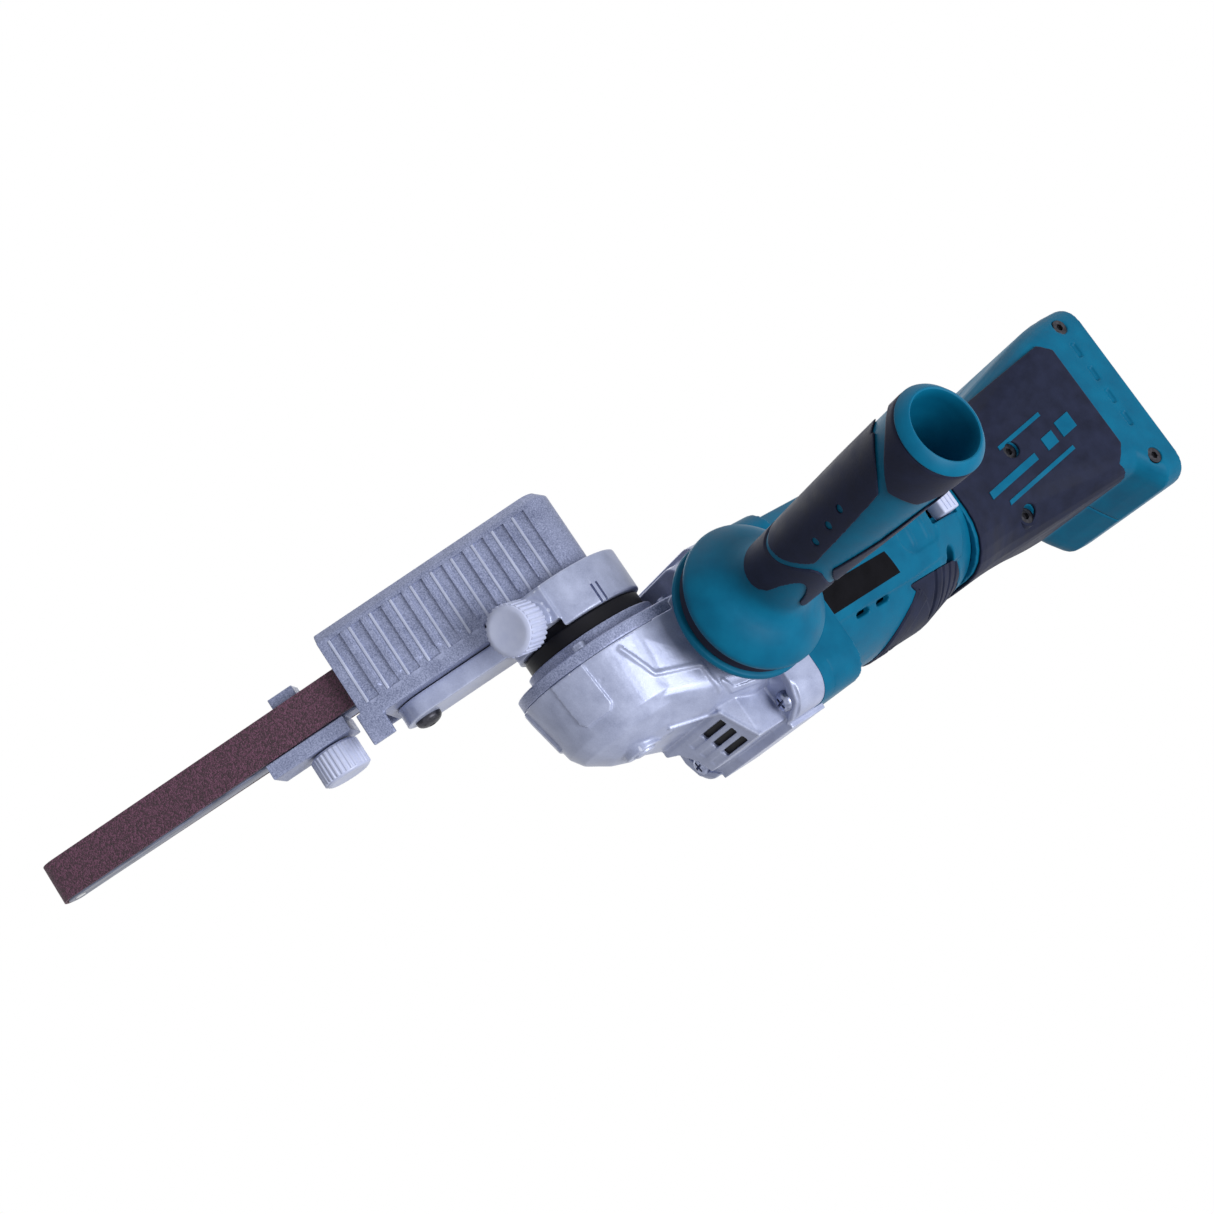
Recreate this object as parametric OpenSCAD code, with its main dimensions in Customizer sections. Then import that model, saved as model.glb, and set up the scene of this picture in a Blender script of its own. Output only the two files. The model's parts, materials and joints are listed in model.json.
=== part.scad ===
// Cordless power file: an angle-drive motor body with a swivelling sanding-belt head and a side handle.
// The part lies on its back. X points forward to the file, Y to the side handle, Z up along the spindle.
// The origin is the centre of the rest pad under the gear housing flange.

/* [Layout] */
// Height of the motor axis above the rest pad
motor_z = 43; // [43:0.5:46]
// Swing of the file head to the side away from the handle, degrees
swivel = 33.4; // [0:0.1:60]
// Height of the belt's middle above the motor axis
belt_s = 56; // [56:0.5:62]
// Clearance of a running fit, on the radius
run_fit = 0.04; // [0.02:0.01:0.08]
// Clearance between pieces that are assembled together
seat_fit = 0.1; // [0.05:0.05:0.2]
// Gap kept between pieces that move past each other
move_gap = 0.4; // [0.3:0.1:0.6]

/* [Gear head] */
// Radius of the housing nose about the spindle
nose_r = 33; // [32.5:0.5:35]
// Amount by which the nose narrows down to its knee
nose_taper = 4.3; // [2:0.1:4.5]
// Depth of the nose's knee below the motor axis
nose_knee = 9; // [7:0.5:11]
// Radius at the foot of the slope under the knee
nose_slope_r = 18; // [17:0.5:20]
// Depth of the nose flat below the motor axis
nose_depth = 21; // [20:0.5:24]
// Height of the bearing plate seam above the motor axis
seam_s = 13; // [12.5:0.5:15]
// Thickness of the bearing plate
plate_t = 4.5; // [3.5:0.5:6]
// Rear edge of the bearing plate, behind the spindle axis
plate_rear = 26; // [25:0.5:26.5]
// Radius of the gear cavity
cavity_r = 28.5; // [28.2:0.1:28.8]
// Depth of the gear cavity below the motor axis
cavity_depth = 12; // [11:0.5:13]
// Front face of the housing flange, behind the spindle axis
flange_m = 33; // [32:0.5:34]
// Thickness of the housing flange
flange_t = 17; // [16:0.5:20]
// Half width of the housing flange
flange_half = 41; // [40:0.5:42.5]
// Reach of the housing flange above the motor axis
flange_top = 29.5; // [29:0.5:32]
// Corner radius of the housing flange
flange_corner = 11; // [8:0.5:14]
// Half length of the rest pad, across the tool
pad_half = 26; // [20:1:30]
// Sideways distance of the lower flange screws from the motor axis
screw_h = 32; // [31:0.5:33]
// Distance of the lower flange screws below the motor axis
screw_s = 34; // [33.5:0.5:34.5]
// Distance of the upper flange screws above the motor axis
screw_top = 20.5; // [19:0.5:21]
// Sideways distance of the upper flange screws from the motor axis
screw_top_h = 36.5; // [36:0.25:36.75]
// Distance of the vent step's low edge behind the spindle axis
step_m = 20; // [18:0.5:28]
// Length of a cooling vent in the housing step
vent_len = 13.5; // [10:0.5:18]
// Width of a cooling vent
vent_w = 2.4; // [1.6:0.2:2.8]
// Spacing of the cooling vents
vent_pitch = 4.4; // [4:0.2:4.6]

/* [Neck and spindle] */
// Radius of the neck tube on the bearing plate
neck_r = 17; // [16.5:0.25:17.5]
// Height of the neck tube above the motor axis
neck_top = 44; // [42:0.5:44.2]
// Radius of the black collar below the clamp ring
collar_r = 23.5; // [22.5:0.25:25]
// Radius of the collar inside the clamp ring
collar_in_r = 20; // [19:0.25:20.5]
// Radius of the raised ring on the bearing plate
plate_ring_r = 25.5; // [24:0.25:27]
// Height of the raised ring's top above the motor axis
plate_ring_s = 22; // [21:0.25:23]
// Radius of the spindle in its bearing
spindle_r = 6; // [5.5:0.25:6.5]
// Radius of the spindle's lower end
spindle_low_r = 4; // [3.5:0.25:4.5]
// Radius of the spindle's threaded top
spindle_top_r = 5; // [4.5:0.25:5.25]
// Outer radius of the spindle ball bearing
spindle_brg_r = 14; // [13:0.25:14.25]
// Width of the spindle ball bearing
spindle_brg_w = 8; // [7:0.5:9]
// Outer radius of the lower spindle bush
bush_r = 6.5; // [6:0.25:7]
// Length of the lower spindle bush
bush_len = 6; // [5:0.5:6.5]

/* [Gears] */
// Teeth on the pinion
pinion_teeth = 8; // [8]
// Teeth on the crown gear
crown_teeth = 32; // [32]
// Outer radius of the crown gear
crown_r = 27; // [26:0.5:28]
// Length of the gear teeth along the radius
face_w = 9; // [8:0.5:10]
// Thickness of the crown gear behind its teeth
crown_back = 4; // [3.5:0.25:4.25]
// Share of the tooth pitch left free between meshing flanks
backlash = 0.1; // [0.06:0.01:0.16]

/* [Spindle lock] */
// Distance of the lock pin from the spindle axis
lock_x = 11.5; // [11.3:0.1:11.7]
// Turn of the lock pin about the spindle, towards the side handle
lock_turn = 30; // [0:5:45]
// Radius of the lock button
lock_r = 4; // [3.75:0.25:4.25]
// Radius of the lock pin
lock_pin_r = 2; // [1.75:0.25:2.25]
// Travel of the lock button
lock_travel = 4; // [3:0.25:4.5]

/* [Motor] */
// Radius of the motor housing
motor_r = 36.5; // [36.5:0.25:38]
// Wall of the motor housing
motor_wall = 3; // [2.5:0.25:3.5]
// Height of the flat on top of the motor housing above its axis
motor_flat = 28.5; // [28:0.25:29]
// Thickness of the motor housing's front flange
motor_flange_t = 15; // [14:0.5:18]
// Length of the motor housing
motor_len = 107; // [105:1:110]
// Length of the cone at the back of the motor housing
cone_len = 26; // [24:0.5:27]
// Radius of the motor housing at its back end
cone_r = 30.5; // [30:0.25:31]
// Radius of the rotor shaft
shaft_r = 4; // [3.75:0.25:4.25]
// Radius of the rotor core
rotor_r = 12.5; // [11.5:0.25:13]
// Length of the rotor core
rotor_len = 36; // [30:1:38]
// Air gap between rotor and stator
air_gap = 0.6; // [0.4:0.1:1]
// Radius of the cooling fan
fan_r = 24; // [22:0.5:24.5]
// Blades on the cooling fan
fan_blades = 11; // [7:1:15]
// Outer radius of the motor bearings
motor_brg_r = 11; // [10:0.25:11.5]
// Width of the motor bearings
motor_brg_w = 7; // [6:0.5:8]
// Length of the rating label
label_len = 36; // [30:1:42]
// Height of the rating label
label_h = 9; // [7:0.5:11]

/* [Switch] */
// Travel of the slide switch
switch_travel = 6; // [4:0.5:7]
// Length of the slide switch button
switch_len = 9; // [8:0.5:10]
// Height of the slide switch button along the spindle direction
switch_w = 8; // [7:0.5:9]
// Height of the flat that the switch slides on, from the motor axis
switch_flat = 28; // [27.5:0.25:28.5]
// Place of the slide switch along the spindle direction, from the motor axis
switch_s = -2.5; // [-4:0.5:2]

/* [Rear handle] */
// Length of the rear handle with its battery foot
handle_len = 112; // [108:1:116]
// Half height of the grip at its waist
grip_half_s = 29.5; // [28.5:0.25:30.5]
// Half width of the grip at its waist
grip_half_h = 26; // [25:0.25:28]
// Half width of the battery foot
foot_half_h = 38; // [37:0.5:40]
// Reach of the battery foot above the motor axis
foot_top = 45; // [44:0.5:48]
// Length of the battery foot
foot_len = 30; // [28:0.5:32]
// Wall of the handle shells
shell_wall = 3; // [2.5:0.25:3.5]
// Thickness of the rubber grip panels
grip_t = 1.4; // [1:0.1:2]
// Depth of the battery bay
bay_depth = 15; // [14:0.5:16]
// Half width of the battery bay's mouth
bay_half = 26; // [25:0.5:27]
// Depth of the rail groove beside the mouth
rail_groove = 4; // [3:0.25:4.5]
// Thickness of the rail lips
rail_lip = 5; // [4:0.25:5.5]

/* [Side handle] */
// Distance of the side handle behind the spindle axis
side_m = 31; // [30.5:0.25:32]
// Radius of the stud
stud_r = 4; // [4:0.25:4.5]
// Radius of the guard discs
disc_r = 26.5; // [24:0.5:28]
// Start of the rear disc from the motor axis
disc_h = 42.3; // [42.3:0.1:43.5]
// Thickness of each disc
disc_t = 3.2; // [2.6:0.1:4]
// Thickness of the damper ring
damper_t = 5; // [4:0.25:6]
// Outer end of the side handle from the motor axis
side_end = 164.8; // [150:0.2:180]
// Radius of the grip at its narrow end
side_r0 = 13.2; // [12.6:0.1:13.6]
// Radius of the grip at its wide end
side_r1 = 15.2; // [14.8:0.1:15.4]
// Radius of the end ring
end_ring_r = 16.6; // [15.8:0.1:17]
// Radius of the hollow in the handle
hollow_r = 12.8; // [11.5:0.1:13]

/* [File head] */
// Width of the sanding belt
belt_w = 15; // [13:0.5:15]
// Thickness of the sanding belt
belt_t = 1; // [0.8:0.1:1.2]
// Radius of the drive wheel
wheel_r = 11; // [10.5:0.25:11.5]
// Radius of the idler pulley
idler_r = 5; // [4.75:0.25:5.25]
// Distance from the spindle axis to the idler
idler_x = 199; // [195:1:205]
// Length of the belt cover in front of the spindle axis
cover_len = 79; // [76:0.5:82]
// Length of the belt cover behind the spindle axis
cover_back = 16; // [15.6:0.1:18]
// Half width of the belt cover
cover_half = 17.6; // [17:0.2:19]
// Top of the belt cover above the belt's middle
cover_top = 20; // [19:0.25:21]
// Depth of the belt cover below the belt's middle
cover_drop = 16.5; // [16:0.25:17]
// Wall of the belt cover
cover_wall = 2.4; // [2:0.1:2.8]
// Ribs on the belt cover's face
rib_count = 10; // [6:1:10]
// Spacing of the ribs
rib_pitch = 8.3; // [7:0.1:8.4]
// Width of a rib
rib_w = 4.2; // [3:0.1:5]
// Height of a rib above the face
rib_t = 0.8; // [0.4:0.1:1.2]
// Outer radius of the clamp ring
ring_r = 25; // [24.5:0.25:27]
// Height of the clamp ring
ring_h = 16.7; // [15:0.1:16.8]
// Half width of the bracket's tongue
tongue_half = 11; // [9:0.25:13]
// Thickness of the bracket's tongue
tongue_t = 7; // [6:0.25:8]
// Distance of the tongue's end behind the cover's front end
tongue_in = 9; // [8:0.5:11]
// Distance of the cover bolt behind the cover's front end
bolt_in = 17; // [16:0.5:19]
// Radius of the cover bolt
bolt_r = 2.5; // [2:0.25:3]
// Radius of both knobs
knob_r = 9.3; // [8.5:0.1:10]
// Length of both knobs
knob_len = 11.5; // [10:0.25:12]
// Radius of both knob screws
knob_screw_r = 3; // [2.5:0.25:3.25]
// Angle of the clamp screw from the arm, degrees
clamp_angle = 60; // [55:1:70]

/* [Arm] */
// Gap between the belt cover and the arm holder
holder_gap = 1; // [0.5:0.25:3]
// Length of the arm holder
holder_len = 38; // [36:0.5:42]
// Distance of the tracking screw in front of the belt cover
track_out = 17.5; // [15:0.25:18]
// Half thickness of the arm bar
bar_half = 3.5; // [3:0.25:3.75]
// Radius of the tension rod
rod_r = 3; // [2.5:0.25:3.25]
// Radius of the spring's wire
wire_r = 0.6; // [0.5:0.05:0.7]
// Turns of the tension spring
spring_turns = 8; // [6:1:9]
// Radius of the idler's axle
axle_r = 2; // [1.75:0.25:2.25]

/* [Hidden] */

// Finishes as the object shows them
cast_tone = [0.74, 0.75, 0.78];
steel_tone = [0.62, 0.63, 0.65];
dark_steel = [0.25, 0.25, 0.27];
teal_tone = [0.05, 0.42, 0.52];
black_tone = [0.16, 0.15, 0.18];
grey_knob = [0.80, 0.81, 0.84];
copper_tone = [0.72, 0.42, 0.22];
board_tone = [0.12, 0.35, 0.20];
belt_tone = [0.33, 0.18, 0.22];

round_fn = 96;
small_fn = 32;
eps = 0.02;
cut = 1;

// Gear geometry from the common apex where both axes cross
gear_ratio = crown_teeth / pinion_teeth;
module_out = 2 * crown_r / crown_teeth;
tooth_add = 0.8 * module_out;
tooth_ded = 1.1 * module_out;
crown_in = crown_r - face_w;
crown_back_s = crown_r / gear_ratio + tooth_ded + crown_back;
hub_r = crown_in - 3;
hub_low = 3;

// Places along the spindle, measured from the motor axis
spindle_low_s = -nose_depth + 3;
bush_s = spindle_low_s - 0.2;
brg_stop = plate_ring_s + spindle_brg_w;
shoulder_s = belt_s - wheel_width() / 2;
spindle_flange_r = spindle_r + 2.5;
neck_bore = spindle_flange_r + 1.2;
ring_top = -belt_w / 2 - 3.8;
ring_low = ring_top - ring_h;
function wheel_width() = belt_w + 1;

// Places along the motor axis, measured from the spindle axis
spindle_x = flange_m + flange_t / 2;
motor_m = flange_m + flange_t;
body_m = motor_m + motor_flange_t;
motor_end = motor_m + motor_len;
cone_m = motor_end - cone_len;
core_bore = motor_flat - motor_wall;
fan_m = motor_m + 3;
rotor_m = motor_m + 22;
bulk_m = rotor_m + rotor_len + 6;
bulk_t = motor_brg_w + 5;
front_brg_m = flange_m + 3;
rear_brg_m = bulk_m;
shaft_end = rear_brg_m + motor_brg_w + 2;
foot_m = motor_end + handle_len - foot_len;
handle_end = motor_end + handle_len;
bay_m = handle_end - bay_depth;

// Side handle places, measured from the motor axis
damper_h = disc_h + disc_t + 0.5;
front_h = damper_h + damper_t + 0.5;
dome_h = front_h + disc_t;
dome_len = 11;
grip_h = dome_h + dome_len;
end_ring_len = 7;
sleeve_end = side_end - end_ring_len;
sleeve_t = 1.2;
boss_end = disc_h - 0.6;
stud_seat = 12;

// File head places in the arm's own frame
clamp_s = ring_low + ring_h * 0.45;
boss_r = knob_screw_r + 4.5;
boss_out = ring_r + 4;
knob_start = boss_out + 0.6;
tongue_top = -cover_drop - 0.5;
tongue_len = cover_len - tongue_in;
bolt_x = cover_len - bolt_in;
holder_x = cover_len + holder_gap;
holder_end = holder_x + holder_len;
track_x = cover_len + track_out;
floor_top = -cover_drop + 3;
floor_x = ring_r + 2;
guide_x = 30;
guide_len = 18;
guide_half = 6.5;
rod_end = guide_x - 4;
spring_x = guide_x + guide_len + 0.3;
spring_end = holder_x - 0.3;
spring_mid = rod_r + 0.5 + wire_r;
holder_deck = -belt_w / 2 - 0.5;
bar_low = -belt_w / 2 + 2;
flange_low = bar_low - 2.4;
bar_eye_r = idler_r - 0.4;
plate_side_in = 0.25;
holder_half = 9;
web_half = 5.2;
holder_low = -belt_w / 2 - 6.3;
idler_low = bar_low + 0.2;
idler_top = belt_w / 2 - 1.5;
knob2_top = holder_low - 0.7;
belt_gap = 0.08;
tenon_len = 14;

// Frames of the main axes
module along_motor(m0) {
  translate([spindle_x, 0, motor_z]) rotate([0, -90, 0]) translate([0, 0, m0]) children();
}
module on_spindle(s0) {
  translate([spindle_x, 0, motor_z + s0]) children();
}
module on_file(s0) {
  translate([spindle_x, 0, motor_z + belt_s + s0]) rotate([0, 0, -swivel]) children();
}
module along_side(h0) {
  translate([spindle_x - side_m, 0, motor_z]) rotate([-90, 0, 0]) translate([0, 0, h0]) children();
}
module along_arm(x0, s0) {
  on_file(s0) translate([x0, 0, 0]) rotate([0, 90, 0]) children();
}
module along_clamp(r0) {
  on_file(clamp_s) rotate([0, 0, clamp_angle]) rotate([0, 90, 0]) translate([0, 0, r0]) children();
}

// Plain shapes
module disc(r, h) {
  cylinder(r = r, h = h, $fn = round_fn);
}
module tube(ro, ri, h) {
  difference() {
    disc(ro, h);
    translate([0, 0, -cut]) disc(ri, h + 2 * cut);
  }
}
module block(x0, x1, y_half, z0, z1) {
  translate([x0, -y_half, z0]) cube([x1 - x0, 2 * y_half, z1 - z0]);
}
module rounded(w, h, r) {
  square([w - 2 * r, h], center = true);
  square([w, h - 2 * r], center = true);
  for (i = [-1, 1]) {
    for (j = [-1, 1]) {
      translate([i * (w / 2 - r), j * (h / 2 - r)]) circle(r, $fn = round_fn);
    }
  }
}
module flange_outline() {
  translate([(flange_top - flange_half) / 2, 0])
    rounded(flange_top + flange_half, 2 * flange_half, flange_corner);
}
module flange_corners() {
  for (j = [-1, 1]) {
    translate([-screw_s, j * screw_h, 0]) children();
    translate([screw_top, j * screw_top_h, 0]) children();
  }
}
flange_bolt_r = 2;
flange_bolt_in = 10;
flange_head_r = 3.8;
flange_head_h = 3;
head_room = 5;
plate_screw_r = nose_r - 2.8;
plate_bolt_r = 1.3;
plate_bolt_in = 7;
plate_head_h = 2;
plate_hole = plate_bolt_in + 2;
module plate_corners() {
  for (a = [50, 130, 230, 310]) {
    rotate([0, 0, a]) translate([plate_screw_r, 0, 0]) children();
  }
}
module plate_outline() {
  side = nose_r - plate_side_in;
  intersection() {
    circle(nose_r, $fn = round_fn);
    translate([-plate_rear / 2, -nose_r - cut]) square([2 * nose_r, 2 * (nose_r + cut)]);
  }
  translate([-plate_rear, -side]) square([plate_rear, 2 * side]);
}

// A coil spring as one unbroken tube along +Z
rings_per_turn = 8;
wire_sides = 6;
function coil_at(r, len, turns, u) = [r * cos(360 * turns * u), r * sin(360 * turns * u), len * u];
function coil_ring(r, len, turns, wire, k, n) =
  let (u = k / n, a = 360 * turns * u, c = coil_at(r, len, turns, u))
  [for (j = [0 : wire_sides - 1])
    let (b = 360 * j / wire_sides)
    c + [wire * cos(b) * cos(a), wire * cos(b) * sin(a), wire * sin(b)]];
function coil_gap(r, len, turns, wire) =
  let (n = turns * rings_per_turn, path = [for (k = [0 : n]) coil_at(r, len - 2 * wire, turns, k / n)])
  min([for (i = [0 : n]) for (j = [i + rings_per_turn / 2 : 1 : n]) norm(path[i] - path[j])]) - 2 * wire;
module coil(r, len, turns, wire) {
  n = turns * rings_per_turn;
  lift = len - 2 * wire;
  points = [for (k = [0 : n]) each coil_ring(r, lift, turns, wire, k, n)];
  sides = [for (k = [0 : n - 1]) for (j = [0 : wire_sides - 1])
    let (p = k * wire_sides, q = p + wire_sides, i = (j + 1) % wire_sides)
    each [[p + j, q + j, q + i], [p + j, q + i, p + i]]];
  first = [for (j = [1 : wire_sides - 2]) [0, j, j + 1]];
  tail = n * wire_sides;
  last = [for (j = [1 : wire_sides - 2]) [tail, tail + j + 1, tail + j]];
  translate([0, 0, wire]) polyhedron(points, concat(sides, first, last));
}
lock_top = hub_low - 1.2;
lock_face = -nose_depth - 1.6;
lock_cap = 3;
lock_well = 7.1;
lock_boss = 0.6;
lock_boss_r = lock_r + 3;
module on_lock(s) {
  on_spindle(s) rotate([0, 0, lock_turn]) translate([lock_x, 0, 0]) children();
}
lock_spring_s = lock_face + lock_cap + 0.2;
lock_spring_len = -nose_depth + lock_well - 0.2 - lock_spring_s;
lock_spring_r = lock_pin_r + 1.2;
lock_spring_turns = 2;
lock_wire = wire_r / 2;
echo(tension_spring_gap = coil_gap(spring_mid, spring_end - spring_x, spring_turns, wire_r));
echo(lock_spring_gap = coil_gap(lock_spring_r, lock_spring_len, lock_spring_turns, lock_wire));

// Rear handle as a loft of rounded sections along the motor axis
loft_steps = 22;
corner_steps = 7;
function ease(u) = let (v = min(1, max(0, u))) v * v * (3 - 2 * v);
function blend(a, b, u) = a + (b - a) * ease(u);
waist_m = motor_end + handle_len * 0.22;
lobe_m = foot_m + 7;
lobe_len = 14;
function grip_low(m) = m < lobe_m
  ? blend(cone_r, grip_half_s, (m - motor_end) / (waist_m - motor_end))
  : blend(grip_half_s, motor_z, (m - lobe_m) / lobe_len);
function grip_top(m) = m < waist_m
  ? blend(cone_r, grip_half_s, (m - motor_end) / (waist_m - motor_end))
  : blend(grip_half_s, foot_top, (m - waist_m) / (handle_end - waist_m - 8));
function grip_side(m) = m < waist_m
  ? blend(cone_r - 1, grip_half_h, (m - motor_end) / (waist_m - motor_end))
  : blend(grip_half_h, foot_half_h, (m - waist_m) / (foot_m + 6 - waist_m));
function grip_corner(m) = blend(22, 10, (m - waist_m) / (foot_m - waist_m));
function grip_skin(m, s) =
  let (r = grip_corner(m), over = max(0, r - grip_low(m) - s, s - grip_top(m) + r))
  grip_side(m) - r + sqrt(r * r - over * over);
function loft_ring(m, grow) =
  let (lo = -grip_low(m) - grow, hi = grip_top(m) + grow,
       w = grip_side(m) + grow, r = grip_corner(m) + grow)
  [for (q = [0 : 3]) for (k = [0 : corner_steps - 1])
    let (a = 90 * q + 90 * k / (corner_steps - 1),
         cs = (q == 0 || q == 3) ? hi - r : lo + r,
         ch = q < 2 ? w - r : r - w)
    [cs + r * cos(a), ch + r * sin(a), m]];
module handle_loft(m0, m1, grow) {
  n = 4 * corner_steps;
  points = [for (k = [0 : loft_steps]) each loft_ring(m0 + (m1 - m0) * k / loft_steps, grow)];
  sides = [for (k = [0 : loft_steps - 1]) for (j = [0 : n - 1])
    let (p = k * n, q = p + n, i = (j + 1) % n)
    each [[p + j, q + j, q + i], [p + j, q + i, p + i]]];
  first = [for (j = [0 : n - 1]) j];
  last = [for (j = [n - 1 : -1 : 0]) loft_steps * n + j];
  polyhedron(points, concat(sides, [first, last]));
}
module half_space(side) {
  far = 2 * handle_len;
  translate([-far, side > 0 ? eps : -far - eps, 0]) cube([2 * far, far, 2 * far]);
}
handle_screw_places = [[motor_end + 42, 3], [motor_end + 35, -22]];
foot_screw_places = [[handle_end - 12, 36.4], [handle_end - 12, -29.4]];
foot_screw_len = 4;
foot_slots = [24.5, 12.5, 1, -10.5];
handle_screw_r = 1.8;
handle_head_r = 3.4;
handle_head_h = 2.4;
handle_screw_in = 8;
head_cut = 20;
module handle_screw_axes() {
  for (p = handle_screw_places) {
    translate([p[1], 0, p[0]]) rotate([-90, 0, 0]) children();
  }
}
pillar_r = 5;

// Gear head
step_half = 26;
nose_flat_r = 12;
side_boss_r = 13;
vent_top = 28.2;
module vent_slots(m0, m1) {
  for (i = [0 : 2]) {
    along_motor(0) translate([-vent_top - i * vent_pitch, 0, m0])
      translate([-vent_w / 2, -vent_len / 2, 0]) cube([vent_w, vent_len, m1 - m0]);
  }
}
knee_r = nose_r - nose_taper;
module nose_solid() {
  rotate_extrude($fn = round_fn) polygon([
    [0, seam_s], [0, -nose_depth], [nose_flat_r, -nose_depth], [nose_slope_r, -nose_depth + 2.4],
    [knee_r - 3, -nose_knee - 4.5], [knee_r, -nose_knee], [nose_r, seam_s]]);
}
module housing_body() {
  on_spindle(0) nose_solid();
  difference() {
    hull() {
      on_spindle(-nose_depth + 4) cylinder(r = nose_slope_r, h = nose_depth - 4, $fn = small_fn);
      on_spindle(-nose_knee)
        cylinder(r1 = knee_r - 0.4, r2 = nose_r - 0.4, h = seam_s + nose_knee, $fn = small_fn);
      along_motor(plate_rear + 1) translate([0.7, 0, 0]) linear_extrude(flange_m - plate_rear)
        rounded(2 * flange_top - 6, 2 * nose_r + 1, 9);
    }
    on_spindle(seam_s) linear_extrude(2 * nose_r) plate_outline();
  }
  hull() {
    along_motor(plate_rear - 12) block(-nose_depth - 4, -nose_depth + 4, step_half - 4, 0, 2);
    along_motor(step_m) block(2 - flange_half, 0, step_half, 0, flange_m - step_m + 2);
  }
  along_motor(flange_m) linear_extrude(flange_t) flange_outline();
  along_motor(flange_m) block(-motor_z, -flange_half + 4, pad_half, 0, flange_t);
  along_side(-boss_end) disc(side_boss_r, 2 * boss_end);
  on_lock(-nose_depth - lock_boss) disc(lock_boss_r, lock_boss + lock_well);
}
module gear_housing() {
  color(cast_tone) difference() {
    housing_body();
    on_spindle(0) rotate_extrude($fn = round_fn) polygon([
      [0, seam_s + cut], [0, -cavity_depth], [cavity_r - 10, -cavity_depth],
      [cavity_r, -cavity_depth + 9], [cavity_r, seam_s + cut]]);
    on_spindle(-nose_depth + 1.6) disc(bush_r + seat_fit, nose_depth);
    along_motor(0) disc(motor_brg_r + 1.5, flange_m + 1);
    along_motor(flange_m) disc(shaft_r + 2, flange_t);
    along_motor(front_brg_m) disc(motor_brg_r + seat_fit, flange_t);
    along_motor(front_brg_m + motor_brg_w + 1) disc(core_bore, flange_t);
    along_motor(flange_m - 3) block(-flange_half + 3, -core_bore + 4, vent_len / 2 + 3, 0, flange_t + 4);
    vent_slots(plate_rear - 14, flange_m + 1);
    along_side(boss_end - stud_seat) disc(stud_r + seat_fit, stud_seat + cut);
    along_side(-boss_end - cut) disc(stud_r + seat_fit, stud_seat + cut);
    along_motor(flange_m - head_room) flange_corners()
      disc(flange_bolt_r + seat_fit, flange_t + head_room + cut);
    along_motor(flange_m - flange_head_h - head_room) flange_corners()
      disc(flange_head_r + 2 * move_gap, flange_head_h + head_room);
    on_spindle(seam_s - plate_hole) plate_corners() disc(plate_bolt_r + seat_fit, plate_hole + cut);
    on_lock(-nose_depth) disc(lock_pin_r + run_fit, nose_depth);
    on_lock(-nose_depth - lock_boss - cut) disc(lock_r + move_gap, lock_boss + cut + lock_well);
  }
}
module bearing_plate() {
  color(cast_tone) difference() {
    union() {
      on_spindle(seam_s) linear_extrude(plate_t) plate_outline();
      on_spindle(seam_s) disc(plate_ring_r, plate_ring_s - seam_s);
      on_spindle(seam_s) disc(neck_r, neck_top - seam_s);
    }
    on_spindle(seam_s - cut) disc(hub_r + 3, cut + 3);
    on_spindle(seam_s - cut) disc(spindle_brg_r + seat_fit, brg_stop - seam_s + cut);
    on_spindle(seam_s) disc(neck_bore, neck_top);
    on_spindle(seam_s - cut) plate_corners() disc(plate_bolt_r + seat_fit, plate_t + 2 * cut);
  }
}
module neck_collar() {
  color(black_tone) on_spindle(plate_ring_s) difference() {
    union() {
      disc(collar_r, belt_s + ring_low - plate_ring_s - move_gap);
      disc(collar_in_r, neck_top - plate_ring_s);
    }
    translate([0, 0, -cut]) disc(neck_r + seat_fit, neck_top);
  }
}
module socket_screw(r, len, head_r, head_h) {
  difference() {
    union() {
      translate([0, 0, -len]) cylinder(r = r, h = len + eps, $fn = small_fn);
      cylinder(r = head_r, h = head_h, $fn = small_fn);
    }
    translate([0, 0, head_h * 0.4]) cylinder(r = head_r * 0.5, h = head_h, $fn = 6);
  }
}
module plate_screws() {
  color(steel_tone) on_spindle(seam_s + plate_t) plate_corners()
    socket_screw(plate_bolt_r, plate_t + plate_bolt_in, 2 * plate_bolt_r, plate_head_h);
}
module flange_screws() {
  color(steel_tone) along_motor(flange_m) flange_corners()
    rotate([180, 0, 0]) socket_screw(flange_bolt_r, flange_t + flange_bolt_in, flange_head_r, flange_head_h);
}
module spindle_bearing() {
  color(steel_tone) on_spindle(plate_ring_s - 0.1) tube(spindle_brg_r, spindle_r + run_fit, spindle_brg_w);
}
module spindle_bush() {
  color(steel_tone) on_spindle(bush_s) tube(bush_r, spindle_low_r + run_fit, bush_len);
}

// Spindle lock
module lock_button() {
  color(black_tone) on_lock(lock_face) {
    disc(lock_r, lock_cap);
    disc(lock_pin_r, lock_top - lock_face);
  }
}
module lock_spring() {
  color(steel_tone) on_lock(lock_spring_s)
    coil(lock_spring_r, lock_spring_len, lock_spring_turns, lock_wire);
}

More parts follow.
